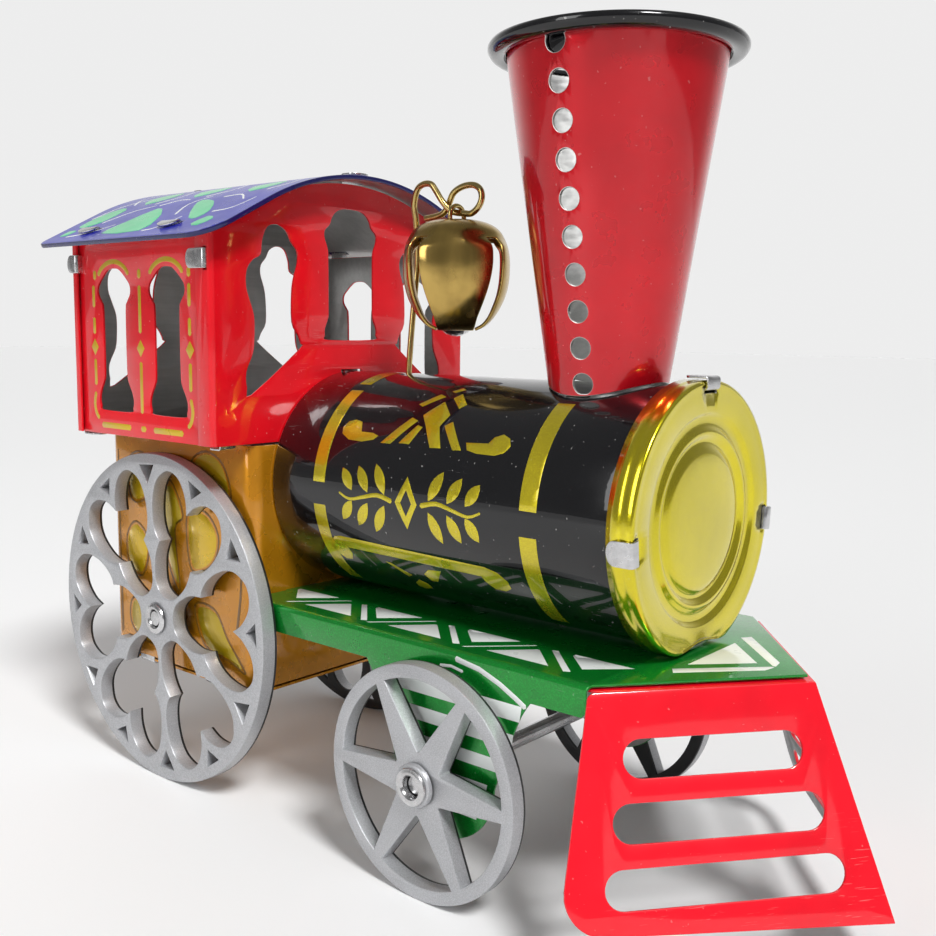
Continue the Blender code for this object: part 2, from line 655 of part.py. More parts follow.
def make_cab():
    front = cab_end("cab_front_wall", CAB_FRONT_X, 1, CAB_FRONT_RETURN)
    cab_end("cab_rear_wall", CAB_REAR_X, -1, CAB_REAR_RETURN)
    slot(front, "boiler_cab_slot", (CAB_FRONT_X, 0, BOILER_Z + BOILER_R - SHEET / 2), (4, 5.6, SLOT))
    front_tab_x, rear_tab_x = CAB_FRONT_X - 1.15, CAB_REAR_X + CAB_REAR_RETURN + 0.6
    for sign in (-1, 1):
        slot(front, f"side_tab_slot_{sign}", (front_tab_x, sign * CAB_HALF_W, CORNER_TAB_Z), (SLOT, 3, 4.2))
    inset = SHEET + GAP
    side_y = CAB_HALF_W - inset - SHEET / 2
    low_x, high_x = CAB_REAR_X + inset, CAB_FRONT_X - inset
    wall = [(low_x, CAB_FLOOR_Z), (high_x, CAB_FLOOR_Z),
            (high_x, CAB_SIDE_TOP_Z), (low_x, CAB_SIDE_TOP_Z)]
    folded_y = CAB_HALF_W + GAP + TAB / 2
    for side, sign in (("right", -1), ("left", 1)):
        panel = to_mesh(sheet(f"cab_side_{side}", [wall, side_window(-60.2), side_window(-42.4)],
                              SHEET, plane="xz", at=(0, sign * side_y, 0)))
        panel.data.materials.append(RED)
        for end, x, reach in (("front", front_tab_x, -4.4), ("rear", rear_tab_x, -3.0)):
            path = [(x, sign * side_y), (x, sign * folded_y), (x + reach, sign * folded_y)]
            join(panel, strip(f"{end}_tab_{side}", path, 3.6, plane="xy", at=(0, 0, CORNER_TAB_Z)))
        for k, x in enumerate(ROOF_TABS_X):
            rise = GAP + TAB / 2
            path = [(sign * side_y, CAB_SIDE_TOP_Z - 1.5),
                    (sign * side_y, roof_height(side_y) + rise + 0.1),
                    (sign * (side_y + 2.8), roof_height(side_y + 2.8) + rise + 0.1)]
            join(panel, strip(f"roof_tab_{side}_{k + 1}", path, 5.4, plane="yz", at=(x, 0, 0)))
    edge = side_y - SHEET / 2 - GAP
    floor = place("cab_floor", box_mesh("cab_floor", (low_x, -edge, CAB_FLOOR_Z),
                                        (high_x, edge, CAB_FLOOR_Z + SHEET)), RED)
    for sign in (-1, 1):
        ys = sorted((sign * (edge + 0.02), sign * (edge - SHEET)))
        join(floor, guide_box(f"floor_lip_{sign}", (low_x + 1, ys[0], CAB_FLOOR_Z + 0.1),
                              (high_x - 1, ys[1], CAB_FLOOR_Z + 4.0)))
    for k, x in enumerate(HOUSING_TABS_X):
        for sign in (-1, 1):
            slot(floor, f"housing_tab_slot_{k + 1}_{sign}",
                 (x, sign * (HOUSING_HALF_W - SHEET / 2), CAB_FLOOR_Z), (5.6, SLOT, 3))
    top = roof_line(ROOF_HALF_W, 0, 28)
    under = [(y, z - ROOF_SHEET) for y, z in reversed(top)]
    lip = 1.1
    outline = top + [(-ROOF_HALF_W, top[-1][1] - lip), (-ROOF_HALF_W + 0.6, top[-1][1] - lip)]
    outline += under[1:-1] + [(ROOF_HALF_W - 0.6, top[0][1] - lip), (ROOF_HALF_W, top[0][1] - lip)]
    roof = to_mesh(sheet("roof", [outline], ROOF_FRONT_X - ROOF_REAR_X, plane="yz",
                         at=((ROOF_FRONT_X + ROOF_REAR_X) / 2, 0, 0)))
    roof.data.materials.append(BLUE)
    r = ROOF_CORNER_R
    for x, x_sign in ((ROOF_FRONT_X, 1), (ROOF_REAR_X, -1)):
        for sign in (-1, 1):
            corner = arc((0, 0), r, 0, 90, 6) + [(0, r + 2), (r + 2, r + 2), (r + 2, 0)]
            placed = [(x + x_sign * (px - r), sign * (ROOF_HALF_W + py - r)) for px, py in corner]
            cut(roof, to_mesh(sheet(f"roof_corner_{x}_{sign}", [placed], 20, at=(0, 0, 112))))
    for k, x in enumerate(ROOF_TABS_X):
        for sign in (-1, 1):
            slot(roof, f"side_roof_slot_{k + 1}_{sign}", (x, sign * side_y, roof_height(side_y)),
                 (6.0, SLOT, 6))
    for x in (CAB_FRONT_X - SHEET / 2, CAB_REAR_X + SHEET / 2):
        slot(roof, f"ridge_slot_{x}", (x, 0, ROOF_CROWN_Z), (SLOT, 5.6, 4))


# ---------------------------------------------------------------- drive housing and flywheel drive

def make_housing():
    low, high = (HOUSING_REAR_X, -HOUSING_HALF_W), (HOUSING_FRONT_X, HOUSING_HALF_W)
    outer = rounded_box(low, high, HOUSING_CORNER_R)
    inner = rounded_box((low[0] + SHEET, low[1] + SHEET), (high[0] - SHEET, high[1] - SHEET),
                        HOUSING_CORNER_R - SHEET)
    height = HOUSING_TOP_Z - HOUSING_BOTTOM_Z
    shell = to_mesh(sheet("drive_housing", [outer, inner], height,
                          at=(0, 0, HOUSING_BOTTOM_Z + height / 2)))
    shell.data.materials.append(ORANGE)
    cut(shell, guide_rod("axle_way", 2.6, 80, (REAR_AXLE_X, 0, REAR_WHEEL_R), turn=(HALF_PI, 0, 0)))
    for sign in (-1, 1):
        cut(shell, guide_box(f"deck_slot_{sign}", (HOUSING_FRONT_X - 2, sign * 14 - 4.3, DECK_TOP - 0.9),
                             (HOUSING_FRONT_X + 2, sign * 14 + 4.3, DECK_TOP + 0.4)))
        y, z = lug_spot(sign)
        slot(shell, f"boiler_lug_slot_{sign}", (HOUSING_FRONT_X, y, z), (3, 1.0, 3.6),
             turn=(-sign * LUG_ANGLE, 0, 0))
    base_z = HOUSING_BOTTOM_Z - GAP - SHEET
    base = to_mesh(sheet("housing_base", [outer], SHEET, at=(0, 0, base_z + SHEET / 2)))
    base.data.materials.append(ORANGE)
    wall_y = HOUSING_HALF_W - SHEET / 2
    upper, lower = CAB_FLOOR_Z + SHEET + GAP + TAB / 2, base_z - GAP - TAB / 2
    for k, x in enumerate(HOUSING_TABS_X):
        for sign in (-1, 1):
            y = sign * wall_y
            join(shell, strip(f"upper_tab_{k + 1}_{sign}", [(y, HOUSING_TOP_Z - 1.5), (y, upper),
                                                            (y - sign * 3.4, upper)],
                              5.0, plane="yz", at=(x, 0, 0)))
            join(shell, strip(f"lower_tab_{k + 1}_{sign}", [(y, HOUSING_BOTTOM_Z + 1.5), (y, lower),
                                                            (y - sign * 3.4, lower)],
                              5.0, plane="yz", at=(x, 0, 0)))
            slot(base, f"lower_tab_notch_{k + 1}_{sign}", (x, y + sign * 0.5, base_z), (5.6, 2.0, 3))
            slot(base, f"plate_lug_slot_{k + 1}_{sign}", (x, sign * PLATE_Y, base_z), (5.6, 1.4, 3))
    for side, sign in (("right", -1), ("left", 1)):
        flange = HOUSING_HALF_W + GAP
        profile = [(3.6, flange + 0.4), (3.6, flange), (2.3, flange), (2.3, HOUSING_HALF_W - 2.0),
                   (AXLE_BORE_R, HOUSING_HALF_W - 2.0), (AXLE_BORE_R, flange + 0.4)]
        turned(f"rear_bush_{side}", profile, STEEL, steps=12, turn=(HALF_PI * -sign, 0, 0),
               at=(REAR_AXLE_X, 0, REAR_WHEEL_R))


def gear_outline(teeth, phase):
    """A spur gear's outline with 25 degree involute flanks, given a little play."""
    pitch_r = GEAR_MODULE * teeth / 2
    base_r = pitch_r * math.cos(math.radians(25))
    tip_r = pitch_r + 0.80 * GEAR_MODULE
    root_r = pitch_r - 1.15 * GEAR_MODULE

    def involute(radius):
        if radius <= base_r:
            return 0.0
        ratio = math.sqrt((radius / base_r) ** 2 - 1)
        return ratio - math.atan(ratio)

    play = 0.09 / pitch_r
    half_tooth = math.pi / 2 / teeth - play + involute(pitch_r)
    start_r = max(base_r, root_r + 0.05)
    flank = [start_r + (tip_r - start_r) * k / 2 for k in range(3)]
    points = []
    for tooth in range(teeth):
        middle = 2 * math.pi * tooth / teeth + phase
        points.append((root_r, middle - half_tooth - 0.02))
        points += [(r, middle - half_tooth + involute(r)) for r in flank]
        points += [(r, middle + half_tooth - involute(r)) for r in reversed(flank)]
        points.append((root_r, middle + half_tooth + 0.02))
    return [(r * math.cos(a), r * math.sin(a)) for r, a in points]


def make_drive():
    """A train of two gear pairs that runs the flywheel about five times as fast as the wheels."""
    centre_gap = GEAR_MODULE * (BIG_TEETH + SMALL_TEETH) / 2
    rise = math.sqrt(centre_gap ** 2 - IDLER_OFFSET_X ** 2)
    idler_at = (REAR_AXLE_X + IDLER_OFFSET_X, 0, REAR_WHEEL_R + rise)
    fly_at = (REAR_AXLE_X, 0, REAR_WHEEL_R + 2 * rise)
    to_idler = math.atan2(rise, IDLER_OFFSET_X)
    to_fly = math.atan2(rise, -IDLER_OFFSET_X)
    rear = axle_point("rear_axle_line", (REAR_AXLE_X, 0, REAR_WHEEL_R))
    idler = axle_point("idler_line", idler_at)
    fly = axle_point("flywheel_line", fly_at)
    wheel_set("rear", REAR_WHEEL_THICK, REAR_WHEEL_FACE_Y, rear_wheel_outlines(),
              [(3.2, 0.8), (3.2, GAP)], rear)
    # A gear with a tooth on the line of centres meets one with a tooth gap there.
    first_y, second_y, flywheel_y = -8.0, -2.5, 5.0
    big_phase, small_gap = to_idler, to_idler + math.pi + math.pi / SMALL_TEETH
    bore = circle((0, 0), AXLE_BORE_R, 16)
    small_bore = circle((0, 0), ARBOR_BORE_R, 12)
    sheet("axle_gear", [gear_outline(BIG_TEETH, big_phase), bore], GEAR_WIDTH, BRASS, plane="xz",
          at=(0, first_y, 0), parent=rear)
    sheet("idler_pinion", [gear_outline(SMALL_TEETH, small_gap), small_bore], GEAR_WIDTH, BRASS,
          plane="xz", at=(0, first_y, 0), parent=idler)
    sheet("idler_gear", [gear_outline(BIG_TEETH, to_fly), small_bore], GEAR_WIDTH - 1, BRASS,
          plane="xz", at=(0, second_y, 0), parent=idler)
    sheet("flywheel_pinion",
          [gear_outline(SMALL_TEETH, to_fly + math.pi + math.pi / SMALL_TEETH), small_bore],
          GEAR_WIDTH, BRASS, plane="xz", at=(0, second_y, 0), parent=fly)
    half = FLYWHEEL_WIDTH / 2
    disc = [(FLYWHEEL_R, half), (FLYWHEEL_R, -half), (7.5, -half), (7.0, -half + 1.5), (3.2, -half + 1.5),
            (ARBOR_BORE_R, -half), (ARBOR_BORE_R, half), (3.2, half - 1.5), (7.0, half - 1.5),
            (7.5, half)]
    turned("flywheel", disc, STEEL, steps=32, turn=(HALF_PI, 0, 0), at=(0, flywheel_y, 0), parent=fly)
    for name, line in (("idler_arbor", idler), ("flywheel_arbor", fly)):
        arbor = place(name, rod_mesh(name, ARBOR_R, 2 * (PLATE_Y + 1.2), 16), STEEL,
                      turn=(HALF_PI, 0, 0), parent=line)
        smooth(arbor.data)
    pillars = ((-69.0, 30.0), (-36.5, 30.0), (-69.0, 64.0), (-36.5, 64.0))
    holes = [circle((REAR_AXLE_X, REAR_WHEEL_R), AXLE_BORE_R, 16)]
    holes += [circle((at[0], at[2]), ARBOR_BORE_R, 12) for at in (idler_at, fly_at)]
    holes += [circle(spot, 1.3, 12) for spot in pillars]
    outline = rounded_box((-72.5, 25.5), (-33.0, 68.0), 3.5, 3)
    for side, sign in (("right", -1), ("left", 1)):
        plate = to_mesh(sheet(f"motor_plate_{side}", [outline, *holes], PLATE_SHEET, plane="xz",
                              at=(0, sign * PLATE_Y, 0)))
        plate.data.materials.append(STEEL)
        y = sign * PLATE_Y
        for k, x in enumerate(HOUSING_TABS_X):
            join(plate, guide_box(f"plate_lug_{side}_{k + 1}",
                                  (x - 2.5, y - 0.35, HOUSING_BOTTOM_Z - GAP - SHEET - 0.6),
                                  (x + 2.5, y + 0.35, 26.5)))
    face = PLATE_Y - PLATE_SHEET / 2 - GAP
    end = PLATE_Y + PLATE_SHEET
    for k, (x, z) in enumerate(pillars):
        shape = [(0, end), (1.0, end), (1.0, face), (1.8, face), (1.8, -face), (1.0, -face),
                 (1.0, -end), (0, -end)]
        turned(f"motor_pillar_{k + 1}", shape, STEEL, steps=10, closed=False,
               turn=(HALF_PI, 0, 0), at=(x, 0, z))


def make_front_axle():
    front = axle_point("front_axle_line", (FRONT_AXLE_X, 0, FRONT_WHEEL_R))
    wheel_set("front", FRONT_WHEEL_THICK, FRONT_WHEEL_FACE_Y, front_wheel_outlines(),
              [(3.2, 1.9), (3.2, 1.2), (3.7, 1.2), (3.7, GAP)], front)


# ---------------------------------------------------------------- bell

def through(knots, per_span):
    """A smooth path through the knots, as a Catmull-Rom curve."""
    path = []
    padded = [knots[0], *knots, knots[-1]]
    for k in range(len(knots) - 1):
        p0, p1, p2, p3 = (Vector(p) for p in padded[k:k + 4])
        for step in range(per_span):
            t = step / per_span
            path.append(0.5 * (2 * p1 + (p2 - p0) * t + (2 * p0 - 5 * p1 + 4 * p2 - p3) * t ** 2
                               + (3 * p1 - p0 - 3 * p2 + p3) * t ** 3))
    path.append(Vector(knots[-1]))
    return path


def make_bell_post():
    """A wire that stands in the boiler and ends in a bow of two loops, with the bell's seat between."""
    z = BELL_PIVOT_Z
    foot = BOILER_Z + BOILER_R - 3.0
    standing = [(POST_X + 6.0, 0, foot - 3.5), (POST_X + 1.2, 0, foot - 2.2), (POST_X, 0, foot),
                (POST_X, 0.5, foot + 8), (-11.5, 1.6, 101.0), (-11.2, 1.9, 106.0), (-10.6, 1.2, 111.0),
                (-10.3, 0.4, 114.5)]
    near_loop = [(-10.3, -0.1, 117.0), (-9.2, -0.5, 119.6), (-7.4, -0.8, 120.6), (-5.3, -0.9, 120.5),
                 (-4.0, -0.9, 119.2), (-2.5, -0.9, 117.3), (-0.9, -0.4, 115.5)]
    far_loop = [(BELL_X, 0, z), (2.2, 0, z - 0.2), (3.9, 0.1, z - 0.3), (5.4, 0.3, 115.8),
                (6.0, 0.5, 117.4), (5.4, 0.7, 119.0), (3.6, 0.9, 119.9), (1.1, 0.9, 119.8),
                (-1.15, 0.9, 118.8), (-2.3, 0.9, 116.9), (-3.4, 0.9, 115.4), (-5.0, 0.9, 114.8),
                (-8.0, 0.7, 114.4)]
    knots = standing + near_loop + far_loop
    wire("bell_post", through(knots, 2), WIRE_R, BRASS)


# rows of a petal from the crown to the lip: radius, height, half-width, and how far its edges bow in
CROWN_ROWS = [(4.2, 113.7), (5.6, 112.9), (7.0, 111.9), (8.4, 110.6)]
PETAL_ROWS = [(9.3, 109.0, 6.3, 0.9), (9.9, 107.0, 6.6, 1.2), (10.0, 104.7, 6.5, 1.3),
              (9.8, 102.2, 6.0, 1.3), (9.2, 99.7, 5.3, 1.2), (8.2, 97.4, 4.5, 1.0),
              (7.0, 95.6, 3.9, 0.6), (5.5, 94.0, 3.5, 0.3), (3.7, BELL_BOTTOM_Z, 3.3, 0.0)]
PETAL_ANGLE = math.radians(36)       # half the angle of a petal where it leaves the crown


def make_bell():
    """Four petals folded down from a round crown, all in one sheet."""
    pivot = axle_point("bell_line", (BELL_X, 0, BELL_PIVOT_Z))
    wide, deep = math.sin(PETAL_ANGLE), math.cos(PETAL_ANGLE)
    rows = [(r, z, r * wide, r * (1 - deep)) for r, z in CROWN_ROWS] + PETAL_ROWS
    bm = bmesh.new()
    petals = []
    for petal in range(4):
        spin = Matrix.Rotation(petal * HALF_PI + BELL_TURN, 3, "Z")
        petals.append([[bm.verts.new(spin @ Vector((r - bow * abs(side), half * side, z - BELL_PIVOT_Z)))
                        for side in (-1, 0, 1)] for r, z, half, bow in rows])
    for petal, grid in enumerate(petals):
        following = petals[(petal + 1) % 4]
        for row in range(len(rows) - 1):
            upper, lower = grid[row], grid[row + 1]
            for k in range(2):
                bm.faces.new((upper[k], lower[k], lower[k + 1], upper[k + 1]))
            if row < len(CROWN_ROWS) - 1:
                bm.faces.new((upper[2], lower[2], following[row + 1][0], following[row][0]))
    bm.faces.new([vert for grid in petals for vert in grid[0]])
    mesh = mesh_from(bm, "bell_shell")
    smooth(mesh, 50)
    bell = place("bell_shell", mesh, BRASS, parent=pivot)
    thick = bell.modifiers.new("sheet", "SOLIDIFY")
    thick.thickness = BELL_SHEET * MM
    thick.offset = -1
    ring_r, ring_wire = 2.0, 0.45
    middle_z = BELL_PIVOT_Z - ring_r + ring_wire + WIRE_R + 0.2
    for sign in (-1, 1):
        reach = math.sqrt(ring_r ** 2 - (BELL_CROWN_Z - middle_z) ** 2)
        cut(bell, guide_rod(f"ring_hole_{sign}", ring_wire + 0.45, 6,
                            (BELL_X, sign * reach, BELL_CROWN_Z), sides=12))
    ring = bmesh.new()
    sides, around = 18, 6
    loops = []
    for k in range(sides):
        a = 2 * math.pi * k / sides
        centre = Vector((0, ring_r * math.cos(a), ring_r * math.sin(a)))
        radial = centre.normalized()
        loop = []
        for j in range(around):
            b = 2 * math.pi * j / around
            spoke = radial * math.cos(b) + Vector((math.sin(b), 0, 0))
            loop.append(ring.verts.new(centre + spoke * ring_wire))
        loops.append(loop)
    for k in range(sides):
        for j in range(around):
            ring.faces.new((loops[k][j], loops[(k + 1) % sides][j],
                            loops[(k + 1) % sides][(j + 1) % around], loops[k][(j + 1) % around]))
    ring_mesh = mesh_from(ring, "bell_ring")
    smooth(ring_mesh, 60)
    place("bell_ring", ring_mesh, BRASS, at=(0, 0, middle_z - BELL_PIVOT_Z), parent=pivot)
    ball = bmesh.new()
    bmesh.ops.create_icosphere(ball, subdivisions=3, radius=PELLET_R)
    ball_mesh = mesh_from(ball, "bell_pellet")
    smooth(ball_mesh, 60)
    place("bell_pellet", ball_mesh, STEEL, at=(0, 0, BELL_BOTTOM_Z + 3.0 - BELL_PIVOT_Z), parent=pivot)


# ---------------------------------------------------------------- the whole locomotive

clear_scene()
PARTS = make_collection("toy_train_locomotive")
GUIDES = make_collection("guides")
RED = make_material("red_tin", (0.78, 0.02, 0.03), 0.3, 0.0)
GREEN = make_material("green_tin", (0.02, 0.30, 0.06), 0.3, 0.3)
BLACK = make_material("black_tin", (0.01, 0.01, 0.012), 0.2, 0.0)
BLUE = make_material("blue_tin", (0.10, 0.12, 0.55), 0.3, 0.1)
ORANGE = make_material("orange_tin", (0.62, 0.28, 0.02), 0.3, 0.2)
GOLD = make_material("gold_tin", (0.72, 0.62, 0.05), 0.25, 0.8)
BRASS = make_material("brass", (0.50, 0.36, 0.14), 0.25, 1.0)
STEEL = make_material("steel", (0.60, 0.60, 0.62), 0.3, 1.0)
SILVER_PLASTIC = make_material("silver_plastic", (0.55, 0.56, 0.58), 0.4, 0.5)

make_chassis()
make_cowcatcher()
make_boiler()
make_chimney()
make_cab()
make_housing()
make_drive()
make_front_axle()
make_bell_post()
make_bell()
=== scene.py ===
"""Looks of the printed tinplate locomotive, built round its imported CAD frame.

Sizes are in millimetres and become metres as each piece is made. Sheet pieces are drawn flat,
with round edges, and then bent to shape, so that their printing bends with them.
"""

import json
import math

import bmesh
import bpy
from mathutils import Matrix, Vector


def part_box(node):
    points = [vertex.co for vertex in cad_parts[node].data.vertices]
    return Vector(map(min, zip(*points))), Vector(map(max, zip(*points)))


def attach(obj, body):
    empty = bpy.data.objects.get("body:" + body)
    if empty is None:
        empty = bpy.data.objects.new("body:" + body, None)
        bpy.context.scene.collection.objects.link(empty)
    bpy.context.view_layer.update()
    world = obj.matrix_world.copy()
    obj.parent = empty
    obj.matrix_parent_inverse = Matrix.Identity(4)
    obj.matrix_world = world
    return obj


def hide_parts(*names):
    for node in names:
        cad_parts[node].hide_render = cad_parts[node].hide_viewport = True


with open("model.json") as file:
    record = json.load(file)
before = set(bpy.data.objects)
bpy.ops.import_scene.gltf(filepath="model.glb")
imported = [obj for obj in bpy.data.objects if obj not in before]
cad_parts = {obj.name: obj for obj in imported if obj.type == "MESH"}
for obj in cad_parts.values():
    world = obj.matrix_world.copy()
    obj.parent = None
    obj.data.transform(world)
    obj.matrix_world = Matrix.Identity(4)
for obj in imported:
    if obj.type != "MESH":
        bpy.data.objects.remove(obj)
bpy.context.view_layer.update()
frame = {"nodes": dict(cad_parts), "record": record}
MM = 0.001
SHEET = 0.5
INK = 0.02
scene = bpy.context.scene


def mm_box(node):
    low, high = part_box(node)
    return low / MM, high / MM


# ---------------------------------------------------------------- materials

class Nodes:
    """Short calls for a material's nodes."""

    def __init__(self, name):
        self.material = bpy.data.materials.new(name)
        self.material.use_nodes = True
        self.tree = self.material.node_tree
        self.shader = self.tree.nodes["Principled BSDF"]
        coordinates = self.tree.nodes.new("ShaderNodeTexCoord")
        self.where = coordinates.outputs["Object"]

    def set(self, **values):
        for name, value in values.items():
            self.shader.inputs[name.replace("_", " ")].default_value = value

    def link(self, source, socket):
        self.tree.links.new(source, socket)

    def noise(self, scale, detail=3.0, rough=0.5, stretch=None):
        source = self.where
        if stretch is not None:
            mapping = self.tree.nodes.new("ShaderNodeMapping")
            mapping.inputs["Scale"].default_value = stretch
            self.link(source, mapping.inputs["Vector"])
            source = mapping.outputs["Vector"]
        node = self.tree.nodes.new("ShaderNodeTexNoise")
        node.inputs["Scale"].default_value = scale
        node.inputs["Detail"].default_value = detail
        node.inputs["Roughness"].default_value = rough
        self.link(source, node.inputs["Vector"])
        return node.outputs["Fac"]

    def cells(self, scale):
        node = self.tree.nodes.new("ShaderNodeTexVoronoi")
        node.inputs["Scale"].default_value = scale
        self.link(self.where, node.inputs["Vector"])
        return node.outputs["Color"]

    def ramp(self, source, low, high, start=0.0, end=1.0):
        node = self.tree.nodes.new("ShaderNodeMapRange")
        node.inputs["From Min"].default_value = low
        node.inputs["From Max"].default_value = high
        node.inputs["To Min"].default_value = start
        node.inputs["To Max"].default_value = end
        self.link(source, node.inputs["Value"])
        return node.outputs["Result"]

    def math(self, operation, a, b):
        node = self.tree.nodes.new("ShaderNodeMath")
        node.operation = operation
        for socket, value in zip(node.inputs, (a, b)):
            if isinstance(value, (int, float)):
                socket.default_value = value
            else:
                self.link(value, socket)
        return node.outputs["Value"]

    def mix(self, factor, a, b):
        node = self.tree.nodes.new("ShaderNodeMix")
        node.data_type = "RGBA"
        self.link(factor, node.inputs["Factor"])
        for socket, value in ((node.inputs[6], a), (node.inputs[7], b)):
            if isinstance(value, tuple):
                socket.default_value = (*value, 1.0)
            else:
                self.link(value, socket)
        return node.outputs[2]

    def bump(self, *layers):
        """Each layer is a height, its strength and its depth in millimetres."""
        normal = None
        for height, strength, depth in layers:
            node = self.tree.nodes.new("ShaderNodeBump")
            node.inputs["Strength"].default_value = strength
            node.inputs["Distance"].default_value = depth * MM
            self.link(height, node.inputs["Height"])
            if normal is not None:
                self.link(normal, node.inputs["Normal"])
            normal = node.outputs["Normal"]
        self.link(normal, self.shader.inputs["Normal"])
        self.link(normal, self.shader.inputs["Coat Normal"])


def shade(colour, factor):
    return tuple(min(1.0, c * factor) for c in colour)


def printed_tin(name, colour, metallic=0.0, roughness=0.3, coat=1.0, coat_roughness=0.05,
                grain=0.0, ripple=0.05, scuffs=0.15, scuff_colour=(0.75, 0.73, 0.70), flake=0.0):
    """Ink on tinplate under a clear lacquer, with ripples, grain, dust and fine scratches."""
    n = Nodes(name)
    n.set(Metallic=metallic, Coat_Weight=coat, Coat_Roughness=coat_roughness, Coat_IOR=1.45, Specular_IOR_Level=0.15)
    cloud = n.ramp(n.noise(70, 4), 0.3, 0.7)
    ink = n.mix(cloud, shade(colour, 0.86), shade(colour, 1.08))
    if flake:
        spark = n.ramp(n.noise(5200, 1), 0.45, 0.75, 0.0, flake)
        ink = n.mix(spark, ink, shade(colour, 1.9))
    scratch = n.ramp(n.noise(1.0, 2, 0.6, stretch=(260, 260, 5200)), 0.665, 0.70)
    where = n.ramp(n.noise(38, 2), 0.56, 0.68)
    dust = n.ramp(n.noise(1500, 1, 0.4), 0.755, 0.79)
    worn = n.math("MULTIPLY", n.math("MAXIMUM", n.math("MULTIPLY", scratch, where), dust), scuffs)
    n.link(n.mix(worn, ink, scuff_colour), n.shader.inputs["Base Color"])
    base = n.ramp(n.noise(220, 3), 0.3, 0.7, roughness * 0.85, roughness * 1.15)
    n.link(n.math("ADD", base, n.math("MULTIPLY", worn, 0.3)), n.shader.inputs["Roughness"])
    layers = [(n.noise(55, 2), 0.5, ripple), (n.noise(2600, 2), 0.25, 0.004 + 0.02 * grain)]
    n.bump(*layers)
    return n.material


def bare_metal(name, colour, roughness=0.28, brush=(900, 40, 900), tarnish=(0.25, 0.24, 0.22), spots=0.35,
               coat=0.0):
    """Bare metal with a fine brushed grain and a little tarnish."""
    n = Nodes(name)
    n.set(Metallic=1.0, Coat_Weight=coat)
    grain = n.noise(1.0, 3, 0.6, stretch=brush)
    cloud = n.ramp(n.noise(160, 4), 0.45, 0.75, 0.0, spots)
    tone = n.mix(n.ramp(grain, 0.3, 0.7), shade(colour, 0.85), shade(colour, 1.1))
    n.link(n.mix(cloud, tone, tarnish), n.shader.inputs["Base Color"])
    rough = n.ramp(grain, 0.25, 0.75, roughness * 0.75, roughness * 1.3)
    n.link(n.math("ADD", rough, n.math("MULTIPLY", cloud, 0.25)), n.shader.inputs["Roughness"])
    n.bump((grain, 0.2, 0.01), (n.noise(420, 2), 0.3, 0.02))
    return n.material


def sprayed_plastic(name, colour, metallic, roughness, sparkle):
    """Moulded plastic, sprayed: a fine pebbled coat with metal flakes."""
    n = Nodes(name)
    n.set(Metallic=metallic)
    flakes = n.ramp(n.noise(4800, 1, 0.4), 0.35, 0.7)
    cloud = n.ramp(n.noise(120, 3), 0.35, 0.7)
    tone = n.mix(cloud, shade(colour, 0.92), shade(colour, 1.05))
    n.link(n.mix(n.math("MULTIPLY", flakes, sparkle), tone, shade(colour, 1.45)),
           n.shader.inputs["Base Color"])
    n.link(n.ramp(flakes, 0, 1, roughness * 1.1, roughness * 0.8), n.shader.inputs["Roughness"])
    n.bump((n.noise(3600, 2), 0.35, 0.025), (n.noise(260, 2), 0.3, 0.05))
    return n.material


RED = printed_tin("red_print", (0.72, 0.004, 0.012), roughness=0.32)
PLOUGH_RED = printed_tin("plough_red_print", (0.83, 0.003, 0.016), roughness=0.35, coat_roughness=0.09)
CHIMNEY_RED = printed_tin("chimney_red_print", (0.58, 0.004, 0.012), metallic=0.55, roughness=0.30)
GREEN = printed_tin("green_print", (0.004, 0.24, 0.025), metallic=0.55, roughness=0.30, grain=1.0, flake=0.55)
BLACK = printed_tin("black_print", (0.004, 0.004, 0.005), roughness=0.22, coat_roughness=0.03, scuffs=0.3)
BLUE = printed_tin("blue_print", (0.014, 0.018, 0.36), metallic=0.1, roughness=0.30, coat=0.3)
# Dark navy for the roof's rounded edges: painted shade of the shadowed hem, darker than the blue print.
PAINTED_SHADE_NAVY = printed_tin("navy_painted_shade", (0.006, 0.006, 0.085), roughness=0.30)
ORANGE = printed_tin("orange_print", (0.62, 0.25, 0.008), metallic=0.5, roughness=0.28)
GOLD = printed_tin("gold_lacquer", (0.72, 0.60, 0.012), metallic=0.95, roughness=0.20, grain=0.8,
                   ripple=0.12, coat_roughness=0.06, flake=0.25)
GOLD_INK = printed_tin("gold_ink", (0.62, 0.50, 0.015), metallic=0.75, roughness=0.30, flake=0.35)
BROWN_INK = printed_tin("old_gold_ink", (0.60, 0.40, 0.012), metallic=0.25, roughness=0.32)
WHITE_INK = printed_tin("white_ink", (0.78, 0.82, 0.80), roughness=0.30, grain=0.6)
MINT_INK = printed_tin("mint_ink", (0.06, 0.52, 0.22), roughness=0.30, coat=0.45)
OLIVE_INK = printed_tin("olive_ink", (0.52, 0.36, 0.008), metallic=0.5, roughness=0.30)
YELLOW_INK = printed_tin("yellow_ink", (0.72, 0.47, 0.008), metallic=0.5, roughness=0.28)
DARK_INK = printed_tin("dark_ink", (0.20, 0.09, 0.006), roughness=0.30)
INNER_TIN = bare_metal("inner_tin", (0.50, 0.50, 0.49), roughness=0.42, spots=0.25)
PALE_TIN = bare_metal("pale_tin", (0.80, 0.80, 0.79), roughness=0.45, spots=0.1)
CUT_EDGE = bare_metal("cut_edge", (0.62, 0.60, 0.58), roughness=0.30)
STEEL = bare_metal("bright_steel", (0.66, 0.66, 0.67), roughness=0.22)
BRASS = bare_metal("old_brass", (0.50, 0.34, 0.10), roughness=0.20, brush=(300, 300, 40),
                   tarnish=(0.10, 0.06, 0.02), spots=0.55)
WIRE = bare_metal("brass_wire", (0.56, 0.42, 0.16), roughness=0.20, brush=(60, 60, 60),
                  tarnish=(0.16, 0.10, 0.04), spots=0.4)
GEAR_BRASS = bare_metal("gear_brass", (0.62, 0.45, 0.14), roughness=0.26)
